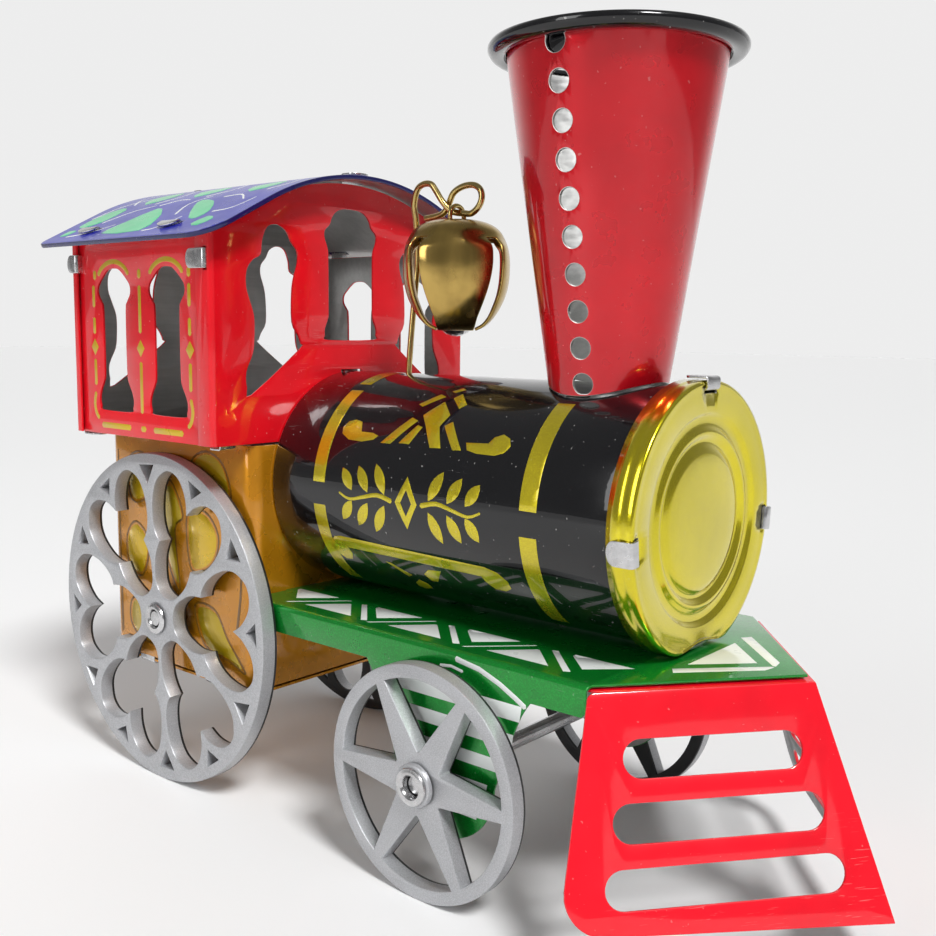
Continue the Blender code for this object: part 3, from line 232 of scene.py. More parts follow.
SILVER = sprayed_plastic("silver_spray", (0.42, 0.425, 0.44), 0.55, 0.42, 0.55)
WHEEL_BLACK = sprayed_plastic("black_moulding", (0.012, 0.012, 0.013), 0.0, 0.45, 0.0)


# ---------------------------------------------------------------- flat pieces that are bent to shape

def arc(centre, radius, start, end, steps):
    angles = [math.radians(start + (end - start) * k / steps) for k in range(steps + 1)]
    return [(centre[0] + radius * math.cos(a), centre[1] + radius * math.sin(a)) for a in angles]


def circle(centre, radius, sides=24):
    return arc(centre, radius, 0, 360, sides)[:-1]


def mirrored(half):
    """A closed outline from its right half, given from bottom to top."""
    return half + [(-x, y) for x, y in reversed(half) if abs(x) > 0.001]


def moved(outline, dx=0.0, dy=0.0, angle=0.0, scale=1.0):
    c, s = math.cos(math.radians(angle)) * scale, math.sin(math.radians(angle)) * scale
    return [(x * c - y * s + dx, x * s + y * c + dy) for x, y in outline]


def flipped(outline, across=0):
    """The outline mirrored across its first (0) or second (1) axis."""
    return [(-x, y) if across == 0 else (x, -y) for x, y in outline]


def smooth_loop(points, steps=4):
    """A closed outline through the points, as a Catmull-Rom curve."""
    loop = []
    count = len(points)
    for k in range(count):
        p0, p1, p2, p3 = (Vector(points[(k + j) % count]) for j in (-1, 0, 1, 2))
        for step in range(steps):
            t = step / steps
            point = 0.5 * (2 * p1 + (p2 - p0) * t + (2 * p0 - 5 * p1 + 4 * p2 - p3) * t ** 2
                           + (3 * p1 - p0 - 3 * p2 + p3) * t ** 3)
            loop.append(tuple(point))
    return loop


def stroke(points, width, end_width=None):
    """The outline of a pen stroke along the points, with round ends."""
    pts = [Vector(p) for p in points]
    count = len(pts)
    left, right = [], []
    for k, p in enumerate(pts):
        ahead = (pts[min(k + 1, count - 1)] - pts[max(k - 1, 0)]).normalized()
        share = k / (count - 1)
        half = (width + ((end_width or width) - width) * share) / 2
        side = Vector((-ahead.y, ahead.x)) * half
        left.append(tuple(p + side))
        right.append(tuple(p - side))
    cap = []
    ahead = (pts[-1] - pts[-2]).normalized()
    cap.append(tuple(pts[-1] + ahead * (end_width or width) * 0.35))
    back = (pts[0] - pts[1]).normalized()
    return left + cap + right[::-1] + [tuple(pts[0] + back * width * 0.35)]


def leaf(length, width, steps=6):
    """A pointed leaf along +X from the origin."""
    top = [(length * k / steps, width / 2 * math.sin(math.pi * k / steps) ** 0.8) for k in range(1, steps)]
    return [(0, 0)] + top + [(length, 0)] + [(x, -y) for x, y in reversed(top)]


def flat_bmesh(outlines, thick, edge):
    curve = bpy.data.curves.new("flat", "CURVE")
    curve.dimensions = "2D"
    curve.fill_mode = "BOTH"
    curve.extrude = thick / 2 - edge
    curve.bevel_depth = edge
    curve.bevel_resolution = 1
    curve.offset = -edge
    for outline in outlines:
        spline = curve.splines.new("POLY")
        spline.points.add(len(outline) - 1)
        for point, (x, y) in zip(spline.points, outline):
            point.co = (x, y, 0, 1)
        spline.use_cyclic_u = True
    obj = bpy.data.objects.new("flat", curve)
    scene.collection.objects.link(obj)
    bpy.context.view_layer.update()
    mesh = bpy.data.meshes.new_from_object(obj.evaluated_get(bpy.context.evaluated_depsgraph_get()))
    bpy.data.objects.remove(obj, do_unlink=True)
    bpy.data.curves.remove(curve)
    bm = bmesh.new()
    bm.from_mesh(mesh)
    bpy.data.meshes.remove(mesh)
    bmesh.ops.remove_doubles(bm, verts=bm.verts, dist=0.0005)
    return bm


def slice_at(bm, places, axis):
    normal = Vector([float(k == axis) for k in range(3)])
    low = min(v.co[axis] for v in bm.verts)
    high = max(v.co[axis] for v in bm.verts)
    for place in places:
        if low + 0.002 < place < high - 0.002:
            bmesh.ops.bisect_plane(bm, geom=bm.verts[:] + bm.edges[:] + bm.faces[:], dist=0.0001,
                                   plane_co=normal * place, plane_no=normal)


def finish_piece(bm, name, materials, body, replaces=(), sharp=32):
    bmesh.ops.recalc_face_normals(bm, faces=bm.faces)
    bmesh.ops.transform(bm, matrix=Matrix.Scale(MM, 4), verts=bm.verts)
    mesh = bpy.data.meshes.new(name)
    bm.to_mesh(mesh)
    bm.free()
    for material in materials:
        mesh.materials.append(material)
    mesh.shade_smooth()
    mesh.set_sharp_from_angle(angle=math.radians(sharp))
    obj = bpy.data.objects.new(name, mesh)
    scene.collection.objects.link(obj)
    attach(obj, body)
    if replaces:
        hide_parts(*replaces)
    return obj


def pressed(name, outlines, wrap, materials, body, replaces=(), thick=SHEET, edge=0.12,
            cuts=((), ()), layer=None, sharp=32):
    """A sheet with round edges, bent by wrap(u, v, w). Its materials are outside, inside and edge."""
    bm = flat_bmesh(outlines, thick, edge)
    slice_at(bm, cuts[0], 0)
    slice_at(bm, cuts[1], 1)
    if layer is not None:
        slice_at(bm, [layer], 2)
    bm.normal_update()
    for face in bm.faces:
        depth = face.calc_center_median().z
        if layer is not None:
            face.material_index = 0 if depth > layer else 1
        elif abs(face.normal.z) > 0.95:
            face.material_index = 0 if depth > 0 else 1
        else:
            face.material_index = 2
    for vert in bm.verts:
        vert.co = wrap(*vert.co)
    return finish_piece(bm, name, materials, body, replaces, sharp)


def printed(name, outlines, wrap, material, body, cuts=((), ()), thick=SHEET):
    """Ink on the outside of a sheet of that thickness, bent in the same way as the sheet."""
    bm = bmesh.new()
    for outline in outlines:
        part = flat_bmesh([outline], INK, INK / 4)
        mesh = bpy.data.meshes.new("ink")
        part.to_mesh(mesh)
        part.free()
        bm.from_mesh(mesh)
        bpy.data.meshes.remove(mesh)
    slice_at(bm, cuts[0], 0)
    slice_at(bm, cuts[1], 1)
    lift = thick / 2 + INK * 0.45
    for vert in bm.verts:
        vert.co = wrap(vert.co.x, vert.co.y, vert.co.z + lift)
    return finish_piece(bm, name, [material], body)


class Fold:
    """A path of straight runs and round bends. at(s) gives a point on it and its left side."""

    def __init__(self, corners, radius=0.8, steps=5, centred=True):
        pts = [Vector(c) for c in corners]
        line = [pts[0]]
        for a, b, c in zip(pts, pts[1:], pts[2:]):
            back, ahead = (a - b).normalized(), (c - b).normalized()
            turn = math.pi - back.angle(ahead)
            if turn < math.radians(12):
                line.append(b)
                continue
            reach = radius * math.tan(turn / 2)
            first, last = b + back * reach, b + ahead * reach
            centre = b + (back + ahead).normalized() * (radius / math.cos(turn / 2))
            for k in range(steps + 1):
                spoke = (first - centre).lerp(last - centre, k / steps).normalized() * radius
                line.append(centre + spoke)
        line.append(pts[-1])
        self.line = line
        self.breaks = [0.0]
        for a, b in zip(line, line[1:]):
            self.breaks.append(self.breaks[-1] + (b - a).length)
        self.length = self.breaks[-1]
        self.shift = self.length / 2 if centred else 0.0
        self.cuts = [b - self.shift for b in self.breaks[1:-1]]

    def side(self, k):
        ahead = (self.line[k + 1] - self.line[k]).normalized()
        return Vector((-ahead.y, ahead.x))

    def at(self, s):
        s = min(max(s + self.shift, 0.0), self.length)
        last = len(self.line) - 2
        k = 0
        while k < last and self.breaks[k + 1] < s:
            k += 1
        share = (s - self.breaks[k]) / (self.breaks[k + 1] - self.breaks[k])
        point = self.line[k].lerp(self.line[k + 1], share)
        here = self.side(k)
        start = (self.side(max(k - 1, 0)) + here).normalized()
        end = (here + self.side(min(k + 1, last))).normalized()
        run = (self.breaks[k + 1] - self.breaks[k]) > 1.6
        side = here if run and 0.02 < share < 0.98 else start.lerp(end, share).normalized()
        return point, side


def across_x(fold, sign=1):
    """Bends in the YZ plane; the flat piece's second direction is X."""
    def wrap(u, v, w):
        p, n = fold.at(u)
        return Vector((v, p.x + sign * n.x * w, p.y + sign * n.y * w))
    return wrap


def across_z(fold, sign=1):
    """Bends in the XY plane; the flat piece's second direction is Z."""
    def wrap(u, v, w):
        p, n = fold.at(u)
        return Vector((p.x + sign * n.x * w, p.y + sign * n.y * w, v))
    return wrap


def across_y(fold, sign=1, middle=0.0):
    """Bends in the XZ plane; the flat piece's second direction is Y."""
    def wrap(u, v, w):
        p, n = fold.at(u)
        return Vector((p.x + sign * n.x * w, v + middle, p.y + sign * n.y * w))
    return wrap


def lathe(name, profile, steps, place, materials, body, replaces=(), closed=True, sharp=35,
          shell=None, dent=None):
    """A turned piece. place(r cos, r sin, h) puts a point; an open profile gets a thickness."""
    bm = bmesh.new()
    rings = []
    for r, h in profile:
        if r < 0.0005:
            rings.append([bm.verts.new((0, 0, h))])
        else:
            rings.append([bm.verts.new((r * math.cos(2 * math.pi * k / steps),
                                        r * math.sin(2 * math.pi * k / steps), h)) for k in range(steps)])
    pairs = list(zip(rings, rings[1:])) + ([(rings[-1], rings[0])] if closed else [])
    for upper, lower in pairs:
        for k in range(steps):
            j = (k + 1) % steps
            corners = [upper[k % len(upper)], upper[j % len(upper)], lower[j % len(lower)], lower[k % len(lower)]]
            unique = [c for i, c in enumerate(corners) if c not in corners[:i]]
            if len(unique) > 2:
                bm.faces.new(unique)
    for vert in bm.verts:
        vert.co = place(*vert.co)
    if dent is not None:
        dent(bm)
    obj = finish_piece(bm, name, materials, body, replaces, sharp)
    if shell is not None:
        solid = obj.modifiers.new("sheet", "SOLIDIFY")
        solid.thickness = shell * MM
        solid.offset = -1
        solid.material_offset = 1 if len(materials) > 1 else 0
        solid.material_offset_rim = 1 if len(materials) > 1 else 0
    return obj


def tab(name, corners, width, wrap_of, body="locomotive", thick=0.4):
    """A bent fixing tab with a round free end."""
    fold = Fold(corners, radius=0.45, steps=4, centred=False)
    half, end = width / 2, fold.length
    outline = [(0, -half), (end - half * 0.7, -half)]
    outline += [(end - half * 0.7 + x * 0.7, y) for x, y in arc((0, 0), half, -75, 75, 8)]
    outline += [(end - half * 0.7, half), (0, half)]
    return pressed(name, [outline], wrap_of(fold), (STEEL, STEEL, STEEL), body, thick=thick,
                   edge=0.08, cuts=(fold.cuts, ()))


# ---------------------------------------------------------------- wheels

def tracery_opening():
    """One opening of the rear wheel, along +X: a hub lobe, two side cusps, a rim lobe and a rim cusp."""
    hub_lobe = smooth_run([(5.6, 0), (5.9, 1.8), (6.9, 3.2), (8.2, 4.1), (9.8, 4.9), (11.5, 5.5), (13.4, 5.7),
                           (15.4, 5.6)])
    rim_lobe = smooth_run([(15.4, 5.6), (15.9, 7.0), (17.2, 8.6), (19.2, 10.0), (21.5, 11.0), (24.0, 11.6),
                           (26.3, 11.5), (28.2, 10.6), (29.7, 9.3), (30.35, 7.7), (30.4, 6.0), (29.9, 4.3),
                           (28.8, 2.7), (27.2, 1.2), (24.9, 0)])
    upper = [tuple(point) for point in hub_lobe + rim_lobe[1:]]
    return upper + [(x, -y) for x, y in reversed(upper[1:-1])]


def rear_wheel_outlines():
    outlines = [circle((0, 0), 33.98, 144), circle((0, 0), 2.3, 24)]
    for k in range(6):
        spoke = 34.3 + 60 * k
        outlines.append(moved(tracery_opening(), angle=spoke + 30))
        outlines.append(moved([(27.8, 0), (31.6, -2.4), (31.6, 2.4)], angle=spoke))
        outlines.append(moved([(28.9, 0), (31.8, -2.2), (31.8, 2.2)], angle=spoke + 30))
    return outlines


def front_wheel_outlines():
    outlines = [circle((0, 0), 19.88, 120), circle((0, 0), 2.3, 24)]
    rim, hub = 17.5, 5.5
    for k in range(6):
        start = 59 + 60 * k
        at_rim, at_hub = 3.6, 28.0
        opening = arc((0, 0), rim, start + at_rim, start + 60 - at_rim, 18)
        opening += arc((0, 0), hub, start + 60 - at_hub, start + at_hub, 4)
        outlines.append(opening)
    return outlines


def make_wheels():
    for prefix, outlines in (("rear", rear_wheel_outlines()), ("front", front_wheel_outlines())):
        for side, sign in (("right", -1), ("left", 1)):
            node = f"{prefix}_wheel_{side}"
            low, high = mm_box(node)
            middle = (low + high) / 2
            thick = high.y - low.y

            def wrap(u, v, w, middle=middle, sign=sign):
                return Vector((middle.x + u, middle.y + sign * w, middle.z + v))

            pressed(node + "_moulding", outlines, wrap, (SILVER, WHEEL_BLACK), f"{prefix}_wheelset",
                    (node,), thick=thick, edge=0.22, layer=-thick * 0.32)
            node = f"{prefix}_hub_eyelet_{side}"
            low, high = mm_box(node)
            radius = 3.2
            outer = max(abs(low.y), abs(high.y))
            inner = min(abs(low.y), abs(high.y))
            if prefix == "front":
                foot = 32.2
                boss = [(3.7, foot), (3.7, foot + 0.7), (3.5, foot + 0.9), (2.1, foot + 0.9), (2.1, foot)]
                lathe(f"front_boss_{side}", boss, 40,
                      lambda a, b, h, m=middle, s=sign: Vector((m.x + a, s * h, m.z + b)),
                      [SILVER], "front_wheelset", sharp=50)
            profile = [(radius - 0.5, outer - 0.1), (radius - 0.1, outer - 0.2), (radius, outer - 0.42),
                       (radius - 0.1, outer - 0.5), (2.05, outer - 0.5), (2.05, inner), (1.72, inner),
                       (1.72, outer - 0.7), (1.82, outer - 0.3), (2.1, outer - 0.03), (2.5, outer)]
            lathe(node + "_rolled", profile, 40,
                  lambda a, b, h, m=middle, s=sign: Vector((m.x + a, s * h, m.z + b)),
                  [STEEL], f"{prefix}_wheelset", (node,))


# ---------------------------------------------------------------- chassis and cowcatcher

def on_deck(points, side=1):
    return [(side * y, x) for x, y in points]


def make_chassis():
    low, high = mm_box("chassis")
    top, half = high.z - SHEET / 2, 27.0 - SHEET / 2
    foot = low.z + 0.05
    fold = Fold([(-half, foot), (-half, top), (half, top), (half, foot)])
    wrap = across_x(fold)
    reach = fold.length / 2

    def skirt(x, z):
        return reach - (z - foot), x

    rear, corner, tip, apron = low.x + 3.5, 50.2, high.x, 21.5
    bottom = 36.7
    edge = [(0, rear), (10.0, rear), (10.0, low.x), (18.0, low.x), (18.0, rear), skirt(rear, bottom)]
    edge += [skirt(*p) for p in smooth_run([(apron - 17.5, bottom), (apron - 15.9, bottom - 2.4),
                                            (apron - 14.0, bottom - 6.0), (apron - 12.3, bottom - 10.0),
                                            (apron - 10.6, 20.5)])]
    edge += [skirt(*p) for p in arc((apron + 0.4, 20.55), 10.8, 180, 360, 24)]
    edge += [skirt(*p) for p in smooth_run([(apron + 11.2, 20.5), (apron + 13.2, bottom - 10.0),
                                            (apron + 14.8, bottom - 6.0), (apron + 16.4, bottom - 2.4),
                                            (apron + 18.0, bottom)])]
    edge += [skirt(corner - 1.2, bottom), skirt(corner - 0.4, bottom + 0.8), skirt(corner - 0.4, top - 0.9),
             (half - 0.2, corner), (0, tip)]
    outline = edge + [(-u, v) for u, v in reversed(edge[1:-1])]
    hole = circle(skirt(20.6, 19.9), 2.5)
    pressed("chassis_sheet", [outline, hole, flipped(hole)], wrap, (GREEN, INNER_TIN, GREEN), "locomotive",
            ("chassis",), edge=0.14, cuts=(fold.cuts, ()))
    ink = []
    for side in (-1, 1):
        for bar in (-7.7, 14.0, 36.3, 58.4):
            upper = [(bar - 18.3, -15.6), (bar - 18.3, -16.4), (bar - 13.3, -21.2), (bar - 7.4, -15.6)]
            shapes = [[(max(x, rear + 1.2), y) for x, y in upper]]
            if bar < 50:
                shapes.append([(bar - 0.5, -16.2), (bar + 0.5, -15.8), (bar + 8.2, -23.4), (bar + 7.2, -24.0)])
                shapes.append([(bar - 8.4, -23.3), (bar - 2.5, -17.4), (bar - 2.1, -17.4), (bar + 3.9, -23.3)])
                shapes.append([(max(bar - 12.9, rear + 1.2), -24.2), (bar - 4.3, -15.7), (bar - 3.8, -15.7),
                               (bar - 12.3, -24.2)])
            ink += [on_deck(s, -side) for s in shapes]
        ink.append(on_deck([(55.3, -11.6), (56.4, -13.3), (66.4, -2.6), (66.8, -0.25), (66.3, -0.25)], side))
        stripes = [(35.8, 33.2, 11.5, 38.0), (30.9, 28.5, 12.0, 36.5), (26.1, 23.9, 11.5, 34.5),
                   (21.3, 19.3, 12.4, 17.0), (21.3, 19.3, 24.4, 31.4), (16.6, 14.8, 14.0, 29.6)]
        for high_z, low_z, x0, x1 in stripes:
            band = [skirt(x0, low_z), skirt(x1 - 0.4, low_z), skirt(x1, high_z), skirt(x0 - 0.5, high_z)]
            ink.append([(side * u, v) for u, v in band])
        bow = stroke([skirt(*p) for p in ((24.6, 40.7), (29.4, 40.0), (33.6, 38.5), (36.6, 37.0),
                                          (38.6, 35.9))], 0.9)
        ink.append([(side * u, v) for u, v in bow])
        ink.append([(side * u, v) for u, v in stroke([skirt(21.2, 39.0), skirt(23.5, 39.3), skirt(25.9, 38.9)],
                                                     0.5)])
    ink.append([(-8.0, 56.0), (0.0, 63.8), (8.0, 56.0)])
    printed("chassis_print", ink, wrap, WHITE_INK, "locomotive", cuts=(fold.cuts, ()))


def smooth_run(points, steps=3):
    """An open line through the points, as a Catmull-Rom curve."""
    run = []
    padded = [points[0], *points, points[-1]]
    for k in range(len(points) - 1):
        p0, p1, p2, p3 = (Vector(p) for p in padded[k:k + 4])
        for step in range(steps):
            t = step / steps
            run.append(tuple(0.5 * (2 * p1 + (p2 - p0) * t + (2 * p0 - 5 * p1 + 4 * p2 - p3) * t ** 2
                                    + (3 * p1 - p0 - 3 * p2 + p3) * t ** 3)))
    run.append(tuple(points[-1]))
    return run


def make_cowcatcher():
    low, high = mm_box("cowcatcher")
    thick, top_z, deck_z = 0.6, high.z, 42.0
    start = Vector((73.0, 0, deck_z))
    outward = -Vector((21.9, 27.0, 0)).normalized()
    fold = Vector(((86.93 - 73.0) / (deck_z - 8.4), 0, -1)).normalized()
    normal = outward.cross(fold).normalized()
    if normal.x < 0:
        normal = -normal
    down = (fold - outward * fold.dot(outward)).normalized()
    slant = fold.dot(outward) / fold.dot(down)
    top = (deck_z - top_z) / -down.z
    foot = 35.4
    outline = [(top * slant - 2.5, top)] + arc((34.6, top + 1.3), 1.3, -90, 0, 5) + [(41.0, 28.0)]
    outline += arc((35.2, foot - 6.6), 5.9, 5, 90, 12) + [(foot * slant - 2.5, foot + 1.2)]
    slots = []
    for middle, inner, outer in ((10.6, 2.9, 31.0), (19.6, 0.3, 33.2), (28.6, -2.0, 35.0)):
        r = 2.8
        slots.append(arc((outer - r, middle), r, -90, 90, 14) + arc((inner + r, middle), r, 90, 270, 14))
    bm = flat_bmesh([outline, *slots], thick, 0.2)
    bm.normal_update()
    for face in bm.faces:
        face.material_index = 1 if face.normal.z < -0.95 else 0
    for v in bm.verts:
        v.co = start + outward * v.co.x + down * v.co.y + normal * (v.co.z - thick / 2)
    bmesh.ops.bisect_plane(bm, geom=bm.verts[:] + bm.edges[:] + bm.faces[:], dist=0.0005,
                           plane_co=(0, 0, 0), plane_no=(0, 1, 0), clear_outer=True)
    twin = bm.copy()
    for v in twin.verts:
        v.co.y = -v.co.y
    bmesh.ops.reverse_faces(twin, faces=twin.faces)
    mesh = bpy.data.meshes.new("twin")
    twin.to_mesh(mesh)
    twin.free()
    bm.from_mesh(mesh)
    bpy.data.meshes.remove(mesh)
    bmesh.ops.remove_doubles(bm, verts=bm.verts, dist=0.002)
    # The plough's inner side gets the very dark tin: painted shade under the deck.
    finish_piece(bm, "cowcatcher_plough", [PLOUGH_RED, PAINTED_SHADE_TIN], "locomotive", ("cowcatcher",))
    edge = 26.2
    flange = [(73.1, 0), (51.75, -edge), (46.6, -edge), (67.6, 0), (46.6, edge), (51.75, edge)]
    pressed("cowcatcher_flange", [flange], lambda u, v, w: Vector((u, v, w + 40.9)),
            (PLOUGH_RED, PAINTED_SHADE_TIN, PLOUGH_RED), "locomotive")


# Very dark tin for the inside of the plough and the underside of its flange: painted shade, not the tin's own
# colour.
PAINTED_SHADE_TIN = bare_metal("painted_shade_tin", (0.16, 0.16, 0.165), roughness=0.4)


# ---------------------------------------------------------------- boiler and chimney

def make_boiler():
    low, high = mm_box("boiler_shell")
    axis_z, radius = 63.6, 21.3
    middle_r = radius - SHEET / 2
    rear, front = -27.4, 53.1
    girth = 2 * math.pi * middle_r

    def wrap(u, v, w):
        a = u / middle_r
        r = middle_r + w
        return Vector((v, -r * math.cos(a), axis_z + r * math.sin(a)))

    def on(x, degrees):
        return math.radians(degrees) * middle_r, x

    seam = math.radians(-90) * middle_r
    cuts = [seam + girth * k / 96 for k in range(97)]
    sheet = [(seam + 0.05, rear), (seam + girth - 0.05, rear), (seam + girth - 0.05, front), (seam + 0.05, front)]
    hole = circle(on(-11.7, 90), 1.0, 20)
    slots = []
    for angle in (65.4, 114.6):
        u, x = on(34.7, angle)
        slots.append([(u - 0.5, x - 2.3), (u + 0.5, x - 2.3), (u + 0.5, x + 2.3), (u - 0.5, x + 2.3)])
    pressed("boiler_sheet", [sheet, hole, *slots], wrap, (BLACK, INNER_TIN, CUT_EDGE), "locomotive",
            ("boiler_shell",), cuts=(cuts, ()))
    ink = []
    for flip in (0, 1):
        def put(outline, flip=flip):
            """An outline of (x, degrees up from the side's middle), on the right or left side."""
            line = [on(x, a if not flip else 180 - a) for x, a in outline]
            ink.append(line)

        for x0, x1 in ((-15.9, -12.8), (32.4, 35.8)):
            spans = [(4.4, 58.5), (-58.0, -7.0)]
            if x0 < 0:
                spans.append((64.5, 88.0))
            for a0, a1 in spans:
                steps = 10
                side = [(x0, a0 + (a1 - a0) * k / steps) for k in range(steps + 1)]
                put(side + [(x1, a) for _, a in reversed(side)])
        put([(3.6, 51.0), (4.8, 49.6), (8.2, 57.8), (6.6, 59.6)])
        put([(-0.6, 27.2), (1.8, 27.2), (5.9, 40.8), (4.2, 42.4)])
        put([(3.7, 28.0), (6.2, 28.0), (7.7, 37.4), (6.4, 38.4)])
        put([(6.3, 44.2), (9.0, 54.0), (12.3, 45.6), (11.4, 38.6), (13.6, 27.6), (11.2, 27.2), (8.2, 38.4)])
        put([(12.4, 39.2), (13.8, 41.8), (18.2, 27.6), (16.3, 27.2)])
        put([(10.2, 57.0), (11.2, 61.0), (14.3, 53.0), (13.3, 49.8)])
        put([(8.3, 62.6), (9.8, 66.4), (10.9, 65.0), (9.3, 61.6)])
        put([(-10.9, 30.0), (-11.4, 33.4), (-10.6, 37.0), (-9.0, 38.4), (-7.2, 37.4), (-6.6, 34.0),
             (-6.3, 32.0), (-3.4, 31.9), (-1.8, 30.7), (-2.6, 28.4), (-5.4, 26.8), (-8.8, 27.2)])
        put([(18.7, 31.6), (23.4, 32.2), (24.2, 35.6), (25.8, 37.4), (27.4, 35.6), (28.1, 31.8), (27.2, 28.4),
             (25.4, 26.7), (21.6, 26.8), (19.4, 28.0)])
        put([(-13.2, -26.6), (-12.0, -23.6), (-10.4, -22.9), (6.8, -24.2), (23.8, -25.4), (26.4, -27.4),
             (28.0, -31.6), (28.1, -35.8), (26.6, -38.4), (24.4, -38.4), (22.9, -34.8), (22.4, -31.4),
             (6.6, -30.4), (-9.2, -29.4), (-9.0, -33.6), (-9.9, -37.6), (-11.6, -38.2), (-13.2, -34.4),
             (-13.9, -30.4)])
        put([(-0.6, -34.2), (0.6, -34.6), (4.6, -41.0), (3.5, -42.8)])
        put([(8.1, -38.1), (9.8, -34.2), (12.9, -33.6), (10.6, -42.2), (8.9, -42.6)])
        put([(4.0, -47.4), (5.6, -44.0), (7.2, -46.4), (7.4, -50.2), (5.6, -52.2), (3.9, -51.4)])
        for shape in garland():
            put(shape)
    printed("boiler_print", ink, wrap, GOLD_INK, "locomotive", cuts=(cuts, ()))
    leaf_z = axis_z + radius
    spokes = (186, 90, -6)
    for k, degrees in enumerate(spokes):
        a = math.radians(degrees)
        out, along = Vector((0, math.cos(a), math.sin(a))), Vector((0, -math.sin(a), math.cos(a)))

        def turned_wrap(fold, out=out, along=along):
            def wrap_tab(u, v, w):
                p, n = fold.at(u)
                return Vector((p.x + n.x * w, 0, axis_z)) + out * (p.y + n.y * w) + along * v
            return wrap_tab

        tab(f"cover_tab_{k + 1}", [(51.8, 21.05), (54.35, 21.05), (54.35, 22.95), (49.9, 22.95)], 4.0,
            turned_wrap)
    lift = leaf_z - SHEET / 2
    tab("boiler_cab_tab", [(-27.0, lift), (-28.75, lift), (-28.75, lift + 3.3)], 5.0, across_y)


def garland():
    """A generic branch of leaves round a lozenge, as (x, degrees) outlines."""
    def on_side(outline):
        return [(x, y * 2.72) for x, y in outline]

    shapes = [on_side(moved([(0, -4.6), (2.6, 0), (0, 4.6), (-2.6, 0), (-1.3, 0), (0, 2.3), (1.3, 0), (0, -2.3),
                             (-1.3, -0.01), (-2.6, -0.01)], 7.8))]
    for side in (-1, 1):
        stem = [(7.8 + side * x, y) for x, y in ((3.6, 0.0), (7.0, 0.7), (10.5, 0.0), (14.0, -0.7), (16.6, 0.2))]
        shapes.append(on_side(stroke(smooth_run(stem), 0.9, 0.4)))
        for k, (x, angle) in enumerate(((5.2, 62), (9.4, 58), (13.4, 54))):
            size = 5.9 - 0.6 * k
            for rise in (-1, 1):
                out = leaf(size, 2.3)
                turn = angle if side > 0 else 180 - angle
                shapes.append(on_side(moved(out, 7.8 + side * x, rise * 0.95, rise * turn)))
    return shapes


def make_cover():
    low, high = mm_box("boiler_front_cover")
    face, axis_z = 54.1, 63.6
    rings = [(0.0, -0.35), (4.0, -0.38), (8.0, -0.48), (10.6, -0.6), (11.5, -0.75), (12.1, -1.1), (12.7, -1.3),
             (13.2, -1.1), (13.6, -0.6), (14.0, -0.45), (14.6, -0.55), (15.0, -0.9), (15.4, -1.0), (16.5, -1.0),
             (16.9, -0.85), (17.2, -0.4), (17.5, -0.25), (20.4, -0.25), (21.5, -0.15), (21.9, -0.07),
             (22.3, -0.15), (22.48, -0.45), (22.46, -1.7), (22.34, -2.1), (22.46, -2.5), (22.48, -4.6)]

    def dent(bm):
        for v in bm.verts:
            floor = 42.42 + (1.2 * math.cos(math.pi * v.co.y / 17) ** 2 if abs(v.co.y) < 8.5 else 0.0)
            depth = floor + 0.8 - v.co.z
            if depth > 0:
                v.co.z = floor + 0.8 * math.exp(-depth / 0.8)
        slit = []
        for face_piece in bm.faces:
            middle = face_piece.calc_center_median()
            r, angle = math.hypot(middle.y, middle.z - axis_z), math.atan2(middle.z - axis_z, middle.y)
            if 20.4 < r < 21.5 and middle.x > face - 0.5:
                if any(abs(math.remainder(angle - math.radians(a), math.tau)) * 21 < 2.3 for a in (186, 90, -6)):
                    slit.append(face_piece)
        bmesh.ops.delete(bm, geom=slit, context="FACES")

    lathe("boiler_cover_pressing", [(r, face + h) for r, h in rings], 128,
          lambda a, b, h: Vector((h, a, axis_z + b)), [GOLD, INNER_TIN], "locomotive",
          ("boiler_front_cover",), closed=False, shell=0.4, dent=dent, sharp=60)


